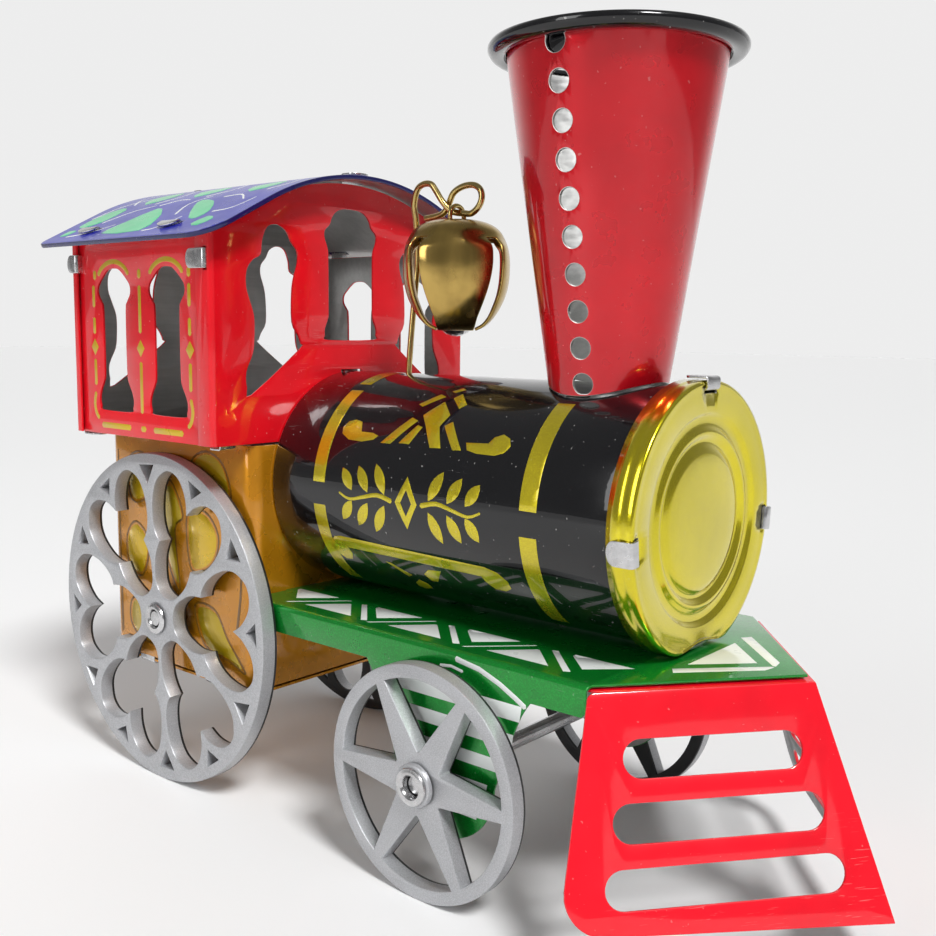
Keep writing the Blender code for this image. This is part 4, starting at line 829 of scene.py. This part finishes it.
def make_chimney():
    axis_x, top_z = 34.7, 138.4
    axis_z, saddle = 63.6, 21.62

    def radius(z):
        return 18.2 - 0.149 * (top_z - z) - SHEET / 2

    def wrap(u, v, w):
        a = u / 15.0
        r = radius(v) + w
        return Vector((axis_x + r * math.cos(a), r * math.sin(a), v))

    seam = math.radians(96)
    cuts = [15.0 * (seam + 2 * math.pi * k / 96) for k in range(97)]
    base = []
    for k in range(97):
        a = seam + 0.004 + (2 * math.pi - 0.008) * k / 96
        z = 84.0
        for _ in range(4):
            y = radius(z) * math.sin(a)
            z = axis_z + math.sqrt(saddle ** 2 - y ** 2)
        base.append((15.0 * a, z))
    outline = base + [(base[-1][0], top_z), (base[0][0], top_z)]
    holes = []
    for k in range(10):
        z = 137.0 - 5.78 * k
        r = radius(z)
        column = 15.0 * math.radians(271.4 + 0.855 * k)
        ring = circle((0, 0), 1.72, 24)
        holes.append([(column + x * 15.0 / r, min(z + y, top_z - 0.25)) for x, y in ring])
    holes[-1] = [(u, max(v, 83.4)) for u, v in holes[-1]]
    pressed("chimney_sheet", [outline, *holes], wrap, (CHIMNEY_RED, PALE_TIN, CUT_EDGE), "locomotive",
            ("chimney",), cuts=(cuts, [90, 96, 102, 108, 114, 120, 126, 132]))
    lip = [(19.6, 139.75), (20.4, 139.8), (20.95, 139.6), (21.2, 139.1), (21.15, 138.5), (20.7, 137.9),
           (20.3, 137.65), (19.7, 137.5), (18.9, 137.55), (18.5, 137.7), (18.5, 138.7), (17.6, 138.7),
           (17.9, 139.3), (18.6, 139.65)]
    lap_u = 15.0 * math.radians(271.4)
    lap = [(lap_u - 3.2, 134.9), (lap_u + 3.2, 134.9), (lap_u + 3.2, 138.2), (lap_u - 3.2, 138.2)]
    pressed("chimney_rim_lap", [lap], lambda u, v, w: wrap(u, v, w - 0.5), (BLACK, BLACK, BLACK), "locomotive",
            thick=0.3, edge=0.05, cuts=([lap_u - 2, lap_u - 1, lap_u, lap_u + 1, lap_u + 2], ()))
    lathe("chimney_rolled_rim", lip, 120, lambda a, b, h: Vector((axis_x + a, b, h)), [BLACK], "locomotive",
          ("chimney_rim",), sharp=50)


# ---------------------------------------------------------------- cab, roof and housing

def roof_height(y):
    y = abs(y)
    if y <= 25.0:
        return 123.4 - 54.0 + math.sqrt(54.0 ** 2 - y ** 2)
    return roof_height(25.0) - 25.0 / math.sqrt(54.0 ** 2 - 625.0) * (y - 25.0)


SIDE_WINDOW = [(4.9, 76.4), (5.8, 77.2), (6.1, 78.6), (5.6, 80.3), (4.5, 82.2), (4.05, 84.4), (4.05, 96.2),
               (4.6, 98.1), (5.5, 99.3), (5.8, 100.3), (5.5, 101.5), (4.3, 102.7), (2.8, 103.9), (1.3, 104.6)]
SIDE_WINDOW_X = (-60.2, -42.4)
OUTER_WINDOW = [(-25.8, 80.8), (-26.9, 82.2), (-27.0, 85.2), (-25.4, 88.6), (-25.0, 91.5), (-25.0, 95.5),
                (-26.0, 98.5), (-26.8, 101.0), (-26.6, 104.0), (-25.2, 105.9), (-23.3, 107.0), (-22.9, 109.6),
                (-21.6, 112.2), (-19.2, 112.8), (-17.0, 111.8), (-15.9, 109.9), (-14.4, 108.2), (-14.2, 106.0),
                (-15.2, 103.0), (-15.7, 100.0), (-15.7, 94.5), (-14.2, 92.0), (-13.5, 90.3), (-13.9, 89.2)]
MIDDLE_WINDOW = [(6.4, 91.1), (7.2, 92.0), (7.2, 93.4), (6.3, 95.5), (6.2, 98.0), (6.2, 107.5), (6.5, 109.5),
                 (7.2, 111.2), (7.1, 112.6), (5.8, 113.8), (5.2, 115.2), (3.9, 116.5), (1.8, 117.1)]


def make_cab_end(node, x, sign, returned):
    half = 35.0 - SHEET / 2
    plane = x - sign * SHEET / 2
    end = x - sign * returned
    fold = Fold([(end, -half), (plane, -half), (plane, half), (end, half)])
    reach = fold.length / 2
    wrap = across_z(fold, -sign)
    flat = reach - returned + 0.6
    top = [(y, roof_height(y) - 1.22) for y in [-33.8 + 67.6 * k / 40 for k in range(41)]]
    outline = [(-reach, 71.5), (-reach, 110.7)] + top + [(reach, 110.7), (reach, 71.5)]
    outer = smooth_loop(OUTER_WINDOW, 3)
    middle = smooth_loop(mirrored(MIDDLE_WINDOW), 3)
    if sign < 0:
        middle = [(u, v if v > 100 else v - 6.5) for u, v in middle]
    slit = []
    if sign > 0:
        for side in (-1, 1):
            u = side * (reach - returned + 1.15 + 0.35)
            slit.append([(u - 0.5, 103.7), (u + 0.5, 103.7), (u + 0.5, 107.9), (u - 0.5, 107.9)])
        slit.append([(-2.8, 84.1), (2.8, 84.1), (2.8, 85.1), (-2.8, 85.1)])
    pressed(node + "_sheet", [outline, outer, flipped(outer), middle, *slit], wrap, (RED, INNER_TIN, RED),
            "locomotive", (node,), cuts=(fold.cuts, ()))
    over = 123.4 + 0.5
    tab(node + "_ridge_tab", [(plane, 121.5), (plane, over), (plane + sign * 3.8, over)], 5.0, across_y)
    for side in (-1, 1):
        tab(f"{node}_floor_tab_{(side + 3) // 2}", [(plane, 72.4), (plane, 70.9), (plane - sign * 3.9, 70.9)], 3.5,
            lambda fold, s=side: across_y(fold, middle=s * 31.5))


def make_cab():
    make_cab_end("cab_front_wall", -27.75, 1, 4.4)
    make_cab_end("cab_rear_wall", -74.35, -1, 2.2)
    side_y = 33.95
    x0, x1 = -73.55, -28.55
    wall = [(x0, 71.45), (x1, 71.45), (x1, 110.7), (x0, 110.7)]
    window = smooth_loop(mirrored(SIDE_WINDOW), 3)
    windows = [moved(window, dx=x) for x in SIDE_WINDOW_X]
    ink = []
    for x in SIDE_WINDOW_X:
        bow = smooth_run([(-5.2, 103.6), (-4.2, 104.7), (-2.2, 105.7), (0, 106.05), (2.2, 105.7), (4.2, 104.7),
                          (5.2, 103.6)])
        ink.append(moved(stroke(bow, 0.95), dx=x))
    for x in (-67.4, -51.2, -35.2):
        ink.append(stroke([(x + (0.6 if x < -60 else 0), 104.1), (x + (0.6 if x < -60 else 0), 102.9)], 1.1))
        for z0, z1 in ((101.6, 97.0), (95.2, 91.6), (86.8, 81.2)):
            if x == -51.2:
                z0, z1 = (101.4, 91.9) if z0 > 100 else ((86.6, 76.2) if z0 < 90 else (0, 0))
            if z0:
                ink.append(stroke([(x, z0 - 0.4), (x, (z0 + z1) / 2), (x, z1 + 0.4)], 0.95))
        ink.append(moved([(0, -1.7), (1.3, 0), (0, 1.7), (-1.3, 0)], dx=x, dy=89.1))
    for x, side in ((-67.6, 1), (-35.2, -1)):
        ink.append(stroke(smooth_run([(x, 79.7), (x - side * 0.5, 77.6), (x, 75.6), (x + side * 0.9, 74.7)]), 0.9))
    for a, b in ((-65.8, -55.0), (-51.9, -49.8), (-47.6, -37.6)):
        ink.append(stroke([(a + 0.5, 73.3), ((a + b) / 2, 73.3), (b - 0.5, 73.3)], 1.15))
    for side, sign in (("right", -1), ("left", 1)):
        def wrap(u, v, w, sign=sign):
            return Vector((u, sign * (side_y + w), v))

        pressed(f"cab_side_{side}_sheet", [wall, *windows], wrap, (RED, INNER_TIN, RED), "locomotive",
                (f"cab_side_{side}",))
        printed(f"cab_side_{side}_print", ink, wrap, BROWN_INK, "locomotive")
        for name, x, reach in (("front", -28.9, -5.2), ("rear", -71.55, -3.0)):
            corners = [(x, sign * side_y), (x, sign * 35.5), (x + reach, sign * 35.5)]
            tab(f"cab_{name}_tab_{side}", corners, 3.6,
                lambda fold: (lambda u, v, w: across_z(fold)(u, v + 105.8, w)))
        for k, x in enumerate((-67.4, -40.1)):
            rise = 0.62
            corners = [(sign * side_y, 109.5), (sign * side_y, roof_height(side_y) + rise),
                       (sign * (side_y + 2.6), roof_height(side_y + 2.6) + rise)]
            tab(f"roof_tab_{side}_{k + 1}", corners, 5.4,
                lambda fold, x=x: (lambda u, v, w: across_x(fold)(u, v + x, w)))
    half = 33.15
    fold = Fold([(-half, 75.3), (-half, 71.65), (half, 71.65), (half, 75.3)])
    reach = fold.length / 2
    pressed("cab_floor_sheet", [[(-reach, x0), (reach, x0), (reach, x1), (-reach, x1)]], across_x(fold, -1),
            (RED, INNER_TIN, RED), "locomotive", ("cab_floor",), cuts=(fold.cuts, ()))


def make_roof():
    low, high = mm_box("roof")
    thick = 0.9
    half = high.y - 0.25
    ys = [-half + 2 * half * k / 64 for k in range(65)]
    line = [(y, roof_height(y) - thick / 2 + max(0, abs(y) - 36.5) ** 2 * 0.02) for y in ys]
    fold = Fold(line, radius=0.5)
    wrap = across_x(fold)
    reach = fold.length / 2
    outline = []
    for x, y, start in ((reach, high.x, 0), (-reach, high.x, 90), (-reach, low.x, 180), (reach, low.x, 270)):
        corner = 6.8 if y == high.x else 3.2
        centre = (x - math.copysign(corner, x), y - math.copysign(corner, y - (low.x + high.x) / 2))
        outline += arc(centre, corner, start, start + 90, 8)

    def on(x, y):
        """Flat place of a point on the roof, from the crown."""
        best = min(range(len(fold.line)), key=lambda k: abs(fold.line[k].x - y))
        return fold.breaks[best] - fold.shift + (y - fold.line[best].x), x

    slots = []
    for x in (-67.4, -40.1):
        for side in (-1, 1):
            u, v = on(x, side * 33.95)
            slots.append([(u - 0.55, v - 3), (u + 0.55, v - 3), (u + 0.55, v + 3), (u - 0.55, v + 3)])
    for x in (-28.0, -74.1):
        slots.append([(-2.8, x - 0.5), (2.8, x - 0.5), (2.8, x + 0.5), (-2.8, x + 0.5)])
    # The roof's edge faces get the dark navy: painted shade on the hem.
    pressed("roof_sheet", [outline, *slots], wrap, (BLUE, INNER_TIN, PAINTED_SHADE_NAVY), "locomotive", ("roof",),
            thick=thick, edge=0.2, cuts=(fold.cuts, ()))
    mint = [[(-60.4, -36.2), (-59.4, -31.4), (-56.6, -25.6), (-52.6, -27.4), (-48.8, -31.2), (-47.4, -36.2)],
            [(-76.0, -31.4), (-75.6, -26.8), (-72.4, -23.4), (-69.2, -25.0), (-69.6, -30.2), (-73.2, -32.4)],
            [(-37.6, -32.0), (-43.6, -26.4), (-45.0, -23.4), (-39.6, -24.6), (-34.6, -29.4), (-34.8, -32.4)],
            [(-76.2, -36.0), (-76.2, -33.6), (-73.4, -33.8), (-74.0, -35.8)],
            [(-32.8, -35.0), (-31.4, -32.0), (-28.4, -33.4), (-29.8, -36.0)],
            [(-65.6, -22.6), (-60.8, -18.6), (-64.0, -14.0), (-69.0, -18.2)],
            [(-50.8, -21.0), (-46.4, -17.2), (-49.6, -12.6), (-54.4, -16.6)],
            [(-33.6, -21.0), (-29.4, -17.2), (-32.4, -12.6), (-37.2, -16.6)]]
    white = [[(-76.6, -28.0), (-74.0, -22.2), (-69.4, -18.4)], [(-68.6, -30.6), (-64.8, -26.2), (-59.6, -24.0)],
             [(-72.6, -36.6), (-66.4, -35.2), (-61.6, -32.2)], [(-58.0, -24.2), (-54.0, -22.0), (-50.2, -22.4)],
             [(-46.2, -36.4), (-43.0, -35.4), (-41.0, -31.0)], [(-45.0, -29.6), (-47.2, -25.0), (-44.0, -21.6)],
             [(-38.8, -22.8), (-34.0, -22.4), (-30.0, -25.2)], [(-33.0, -30.0), (-28.6, -28.8), (-26.8, -24.8)],
             [(-61.6, -22.8), (-57.4, -18.6), (-60.4, -12.6)], [(-46.4, -21.2), (-42.0, -17.2), (-45.6, -11.2)],
             [(-70.2, -22.0), (-73.4, -17.4), (-69.2, -12.4)], [(-28.6, -20.6), (-26.0, -16.8), (-28.8, -11.4)]]
    mint_ink, white_ink = [], []
    for side in (1, -1):
        for shape in mint:
            mint_ink.append([on(x, side * y) for x, y in smooth_loop(shape, 2)])
        for line_points in white:
            white_ink.append(stroke([on(x, side * y) for x, y in smooth_run(line_points)], 0.62, 0.3))
    printed("roof_print_mint", mint_ink, wrap, MINT_INK, "locomotive", cuts=(fold.cuts, ()), thick=thick)
    printed("roof_print_white", white_ink, wrap, WHITE_INK, "locomotive", cuts=(fold.cuts, ()),
            thick=thick)


def make_housing():
    low, high = mm_box("housing_base")
    x0, x1, half = low.x + SHEET / 2, high.x - SHEET / 2, high.y - SHEET / 2
    fold = Fold([(x0, 0.02), (x0, half), (x1, half), (x1, -half), (x0, -half), (x0, -0.02)], radius=2.75,
                steps=8, centred=False)
    wrap = across_z(fold)
    z0, z1 = 23.05, 71.05
    bend = 2.75 * (2 - math.pi / 2)
    side_run = x1 - x0

    def on(x, z, sign):
        """Flat place of a point on a side wall."""
        start = half - bend / 2
        return (start + (x - x0) - bend / 2, z) if sign > 0 else (fold.length - start - (x - x0) + bend / 2, z)

    outline = [(0, z0), (fold.length, z0), (fold.length, z1), (0, z1)]
    holes = [circle(on(-53.4, 34.0, sign), 2.6) for sign in (-1, 1)]
    pressed("housing_sheet", [outline, *holes], wrap, (ORANGE, INNER_TIN, ORANGE), "locomotive",
            ("drive_housing",), cuts=(fold.cuts, ()))
    olive, yellow, dark = [], [], []
    for sign in (-1, 1):
        def put(store, outline, sign=sign):
            store.append([on(x, z, sign) for x, z in outline])

        shapes = ([(-58, 57.5), (-54.2, 62.1), (-50, 55.3), (-52.9, 51.8), (-51.6, 39.4), (-55.6, 45.1)],
                  [(-48.6, 55.8), (-42.6, 56.8), (-38.5, 52.6), (-39.7, 47.4), (-44.2, 44.4), (-48, 45.2)],
                  [(-46.6, 37.1), (-40, 37.2), (-35.9, 31.8), (-30.6, 26.1), (-35.7, 27.6), (-43.5, 29.3)],
                  [(-69.6, 64.4), (-65.2, 67.2), (-60.6, 64.6), (-62.6, 57.8), (-68.2, 56.6)],
                  [(-46.8, 66.6), (-42.0, 69.0), (-36.6, 66.8), (-34.2, 60.6), (-38.4, 59.4), (-44.6, 62.2)],
                  [(-70.4, 48.6), (-66.8, 52.0), (-62.2, 48.0), (-64.8, 40.6), (-69.8, 42.2)],
                  [(-68.8, 35.0), (-62.6, 33.4), (-58.4, 26.8), (-65.4, 26.4), (-69.8, 29.6)])
        for k, shape in enumerate(shapes):
            inner = smooth_loop(shape, 4)
            mx, mz = (sum(p[j] for p in shape) / len(shape) for j in (0, 1))
            put(yellow if k % 2 else olive, [(mx + (x - mx) * 0.86, mz + (z - mz) * 0.88) for x, z in inner])
            half_way = len(inner) // 2
            put(dark, stroke(inner[:half_way + 1], 0.5))
            put(dark, stroke(inner[half_way:] + inner[:1], 0.5))
        put(dark, stroke([(-73.0, 27), (-73.0, 47), (-73.0, 67)], 0.8, 0.4))
        put(dark, stroke(smooth_run([(-33.0, 34), (-31.4, 45), (-32.4, 57)]), 0.8, 0.4))
    for name, store, material in (("olive", olive, OLIVE_INK), ("yellow", yellow, YELLOW_INK),
                                  ("dark", dark, DARK_INK)):
        printed(f"housing_print_{name}", store, wrap, material, "locomotive", cuts=(fold.cuts, ()))
    for k, x in enumerate((-64.0, -41.0)):
        for sign in (-1, 1):
            for place, z_near, z_far in (("upper", 69.5, 72.4), ("lower", 24.5, 21.7)):
                corners = [(sign * half, z_near), (sign * half, z_far), (sign * (half - 3.3), z_far)]
                tab(f"housing_{place}_tab_{2 * k + (sign + 3) // 2}", corners, 5.0,
                    lambda fold, x=x: (lambda u, v, w: across_x(fold)(u, v + x, w)))


# ---------------------------------------------------------------- bell

CROWN_ROWS = [(1.0, 113.68), (3.4, 113.6), (5.4, 113.2), (7.0, 112.5), (8.2, 111.5), (9.0, 110.2)]
PETAL_ROWS = [(9.6, 108.6, 6.5, 1.1), (9.95, 106.6, 6.75, 1.2), (10.0, 104.4, 6.65, 1.3), (9.8, 102.0, 6.2, 1.3),
              (9.2, 99.6, 5.5, 1.2), (8.2, 97.4, 4.7, 1.0), (7.0, 95.6, 4.0, 0.6), (5.5, 94.1, 3.6, 0.3),
              (3.7, 93.25, 3.3, 0.0)]


def make_bell():
    """Four petals folded down from a round crown; past the crown, slots part them."""
    centre = Vector((0.5, 0, 0))
    wide, deep = math.sin(math.radians(36)), 1 - math.cos(math.radians(36))
    knots = [(r, z, r * wide, r * deep) for r, z in CROWN_ROWS] + PETAL_ROWS
    steps, columns = 3, 8
    sides = smooth_run([(r, z) for r, z, _, _ in knots], steps)
    widths = smooth_run([(half, bow) for _, _, half, bow in knots], steps)
    bm = bmesh.new()
    petals = []
    for petal in range(4):
        spin = Matrix.Rotation(petal * math.pi / 2 + math.radians(40), 3, "Z")
        petals.append([[bm.verts.new(spin @ Vector((r - bow * (2 * k / columns - 1) ** 2,
                                                    half * (2 * k / columns - 1), z)) + centre)
                        for k in range(columns + 1)] for (r, z), (half, bow) in zip(sides, widths)])
    for petal, grid in enumerate(petals):
        following = petals[(petal + 1) % 4]
        for row, (upper, lower) in enumerate(zip(grid, grid[1:])):
            for k in range(columns):
                bm.faces.new((upper[k], lower[k], lower[k + 1], upper[k + 1]))
            if row < steps * (len(CROWN_ROWS) - 1):
                bm.faces.new((upper[-1], lower[-1], following[row + 1][0], following[row][0]))
    bm.faces.new([vert for grid in petals for vert in grid[0]])
    bell = finish_piece(bm, "bell_petals", [BRASS], "bell", ("bell_shell",), sharp=50)
    solid = bell.modifiers.new("sheet", "SOLIDIFY")
    solid.thickness = 0.6 * MM
    solid.offset = -1
    round_edge = bell.modifiers.new("edge", "BEVEL")
    round_edge.width = 0.14 * MM
    round_edge.segments = 2
    round_edge.limit_method = "ANGLE"
    round_edge.angle_limit = math.radians(50)
    z = 115.0
    standing = [(-5.7, 0, 78.4), (-10.5, 0, 79.7), (-11.7, 0, 81.9), (-11.7, 0.5, 89.9), (-11.5, 1.6, 101.0),
                (-11.2, 1.9, 106.0), (-10.6, 1.2, 111.0), (-10.3, 0.4, 114.5)]
    near_loop = [(-10.3, -0.1, 117.0), (-9.2, -0.5, 119.6), (-7.4, -0.8, 120.6), (-5.3, -0.9, 120.5),
                 (-4.0, -0.9, 119.2), (-2.5, -0.9, 117.3), (-0.9, -0.4, 115.5)]
    far_loop = [(0.5, 0, z), (2.2, 0, z - 0.2), (3.9, 0.1, z - 0.3), (5.4, 0.3, 115.8), (6.0, 0.5, 117.4),
                (5.4, 0.7, 119.0), (3.6, 0.9, 119.9), (1.1, 0.9, 119.8), (-1.15, 0.9, 118.8),
                (-2.3, 0.9, 116.9), (-3.4, 0.9, 115.4), (-5.0, 0.9, 114.8), (-8.0, 0.7, 114.4)]
    knots = standing + near_loop + far_loop
    path = smooth_run(knots, 8)
    curve = bpy.data.curves.new("bell_wire", "CURVE")
    curve.dimensions = "3D"
    curve.bevel_depth = 0.6 * MM
    curve.bevel_resolution = 4
    curve.use_fill_caps = True
    spline = curve.splines.new("POLY")
    spline.points.add(len(path) - 1)
    for point, xyz in zip(spline.points, path):
        point.co = (*(Vector(xyz) * MM), 1)
    wire = bpy.data.objects.new("bell_wire", curve)
    scene.collection.objects.link(wire)
    curve.materials.append(WIRE)
    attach(wire, "locomotive")
    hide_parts("bell_post")
    low, high = mm_box("bell_ring")
    middle = (low + high) / 2
    major = (high.z - low.z) / 2 - 0.42
    profile = [(major + 0.45 * math.cos(a), 0.45 * math.sin(a)) for a in
               [2 * math.pi * k / 16 for k in range(16)]]
    lathe("bell_ring_round", profile, 48, lambda a, b, h: Vector((middle.x + h, middle.y + a, middle.z + b)),
          [WIRE], "bell", ("bell_ring",), sharp=60)


# ---------------------------------------------------------------- carried-over CAD pieces, stage, camera

def dress_cad():
    looks = {"steel": STEEL, "brass": GEAR_BRASS, "orange_tin": ORANGE}
    slots = {item["node"]: item["material_slot"] for item in frame["record"]["subparts"]}
    for node, obj in frame["nodes"].items():
        if obj.hide_render:
            continue
        material = looks.get(slots[node], STEEL)
        for k in range(max(1, len(obj.material_slots))):
            if not obj.material_slots:
                obj.data.materials.append(material)
            else:
                obj.material_slots[k].material = material


def area_light(name, place, target, size, power, colour=(1, 1, 1), size_y=None):
    light = bpy.data.lights.new(name, "AREA")
    light.shape = "RECTANGLE"
    light.size = size
    light.size_y = size_y or size
    light.energy = power
    light.color = colour
    obj = bpy.data.objects.new(name, light)
    scene.collection.objects.link(obj)
    obj.location = place
    obj.rotation_euler = (Vector(target) - Vector(place)).to_track_quat("-Z", "Y").to_euler()


def make_stage():
    mesh = bpy.data.meshes.new("floor")
    bm = bmesh.new()
    bmesh.ops.create_grid(bm, x_segments=1, y_segments=1, size=4.0)
    bm.to_mesh(mesh)
    bm.free()
    floor = bpy.data.objects.new("floor", mesh)
    scene.collection.objects.link(floor)
    look = bpy.data.materials.new("pale_floor")
    look.use_nodes = True
    shader = look.node_tree.nodes["Principled BSDF"]
    shader.inputs["Base Color"].default_value = (0.86, 0.86, 0.86, 1)
    shader.inputs["Roughness"].default_value = 0.6
    mesh.materials.append(look)
    world = bpy.data.worlds.new("studio")
    scene.world = world
    world.use_nodes = True
    tree = world.node_tree
    coords = tree.nodes.new("ShaderNodeTexCoord")
    toward = tree.nodes.new("ShaderNodeVectorMath")
    toward.operation = "DOT_PRODUCT"
    toward.inputs[1].default_value = (-0.6397, 0.7584, -0.1266)
    tree.links.new(coords.outputs["Generated"], toward.inputs[0])
    spread = tree.nodes.new("ShaderNodeMapRange")
    for socket, value in (("From Min", 0.35), ("From Max", 0.8), ("To Min", 0.22), ("To Max", 0.85)):
        spread.inputs[socket].default_value = value
    tree.links.new(toward.outputs["Value"], spread.inputs["Value"])
    tree.nodes["Background"].inputs["Color"].default_value = (1, 1, 1, 1)
    tree.links.new(spread.outputs["Result"], tree.nodes["Background"].inputs["Strength"])
    scene.view_settings.view_transform = "Standard"
    sun = bpy.data.lights.new("key", "SUN")
    sun.energy = 2.9
    sun.angle = math.radians(14)
    lamp = bpy.data.objects.new("key", sun)
    scene.collection.objects.link(lamp)
    lamp.rotation_euler = Vector((0.60, -0.25, 0.75)).to_track_quat("Z", "Y").to_euler()
    area_light("side", (-0.10, -0.70, 0.40), (0.0, 0.0, 0.06), 0.25, 1.6, size_y=0.5)
    camera_data = bpy.data.cameras.new("camera")
    camera_data.lens = 42.29
    camera_data.sensor_width = 36.0
    camera_data.clip_start = 0.005
    camera = bpy.data.objects.new("camera", camera_data)
    scene.collection.objects.link(camera)
    azimuth, pitch, roll = (math.radians(a) for a in (40.13, 7.27, 0.65))
    forward = Vector((-math.sin(azimuth) * math.cos(pitch), math.cos(azimuth) * math.cos(pitch),
                      -math.sin(pitch)))
    level = Vector((math.cos(azimuth), math.sin(azimuth), 0))
    upright = level.cross(forward)
    right = level * math.cos(roll) + upright * math.sin(roll)
    up = upright * math.cos(roll) - level * math.sin(roll)
    turn = Matrix((right, up, -forward)).transposed()
    camera.matrix_world = Matrix.Translation((0.136886, -0.157800, 0.093833)) @ turn.to_4x4()
    scene.camera = camera


make_wheels()
make_chassis()
make_cowcatcher()
make_boiler()
make_cover()
make_chimney()
make_cab()
make_roof()
make_housing()
make_bell()
dress_cad()
make_stage()
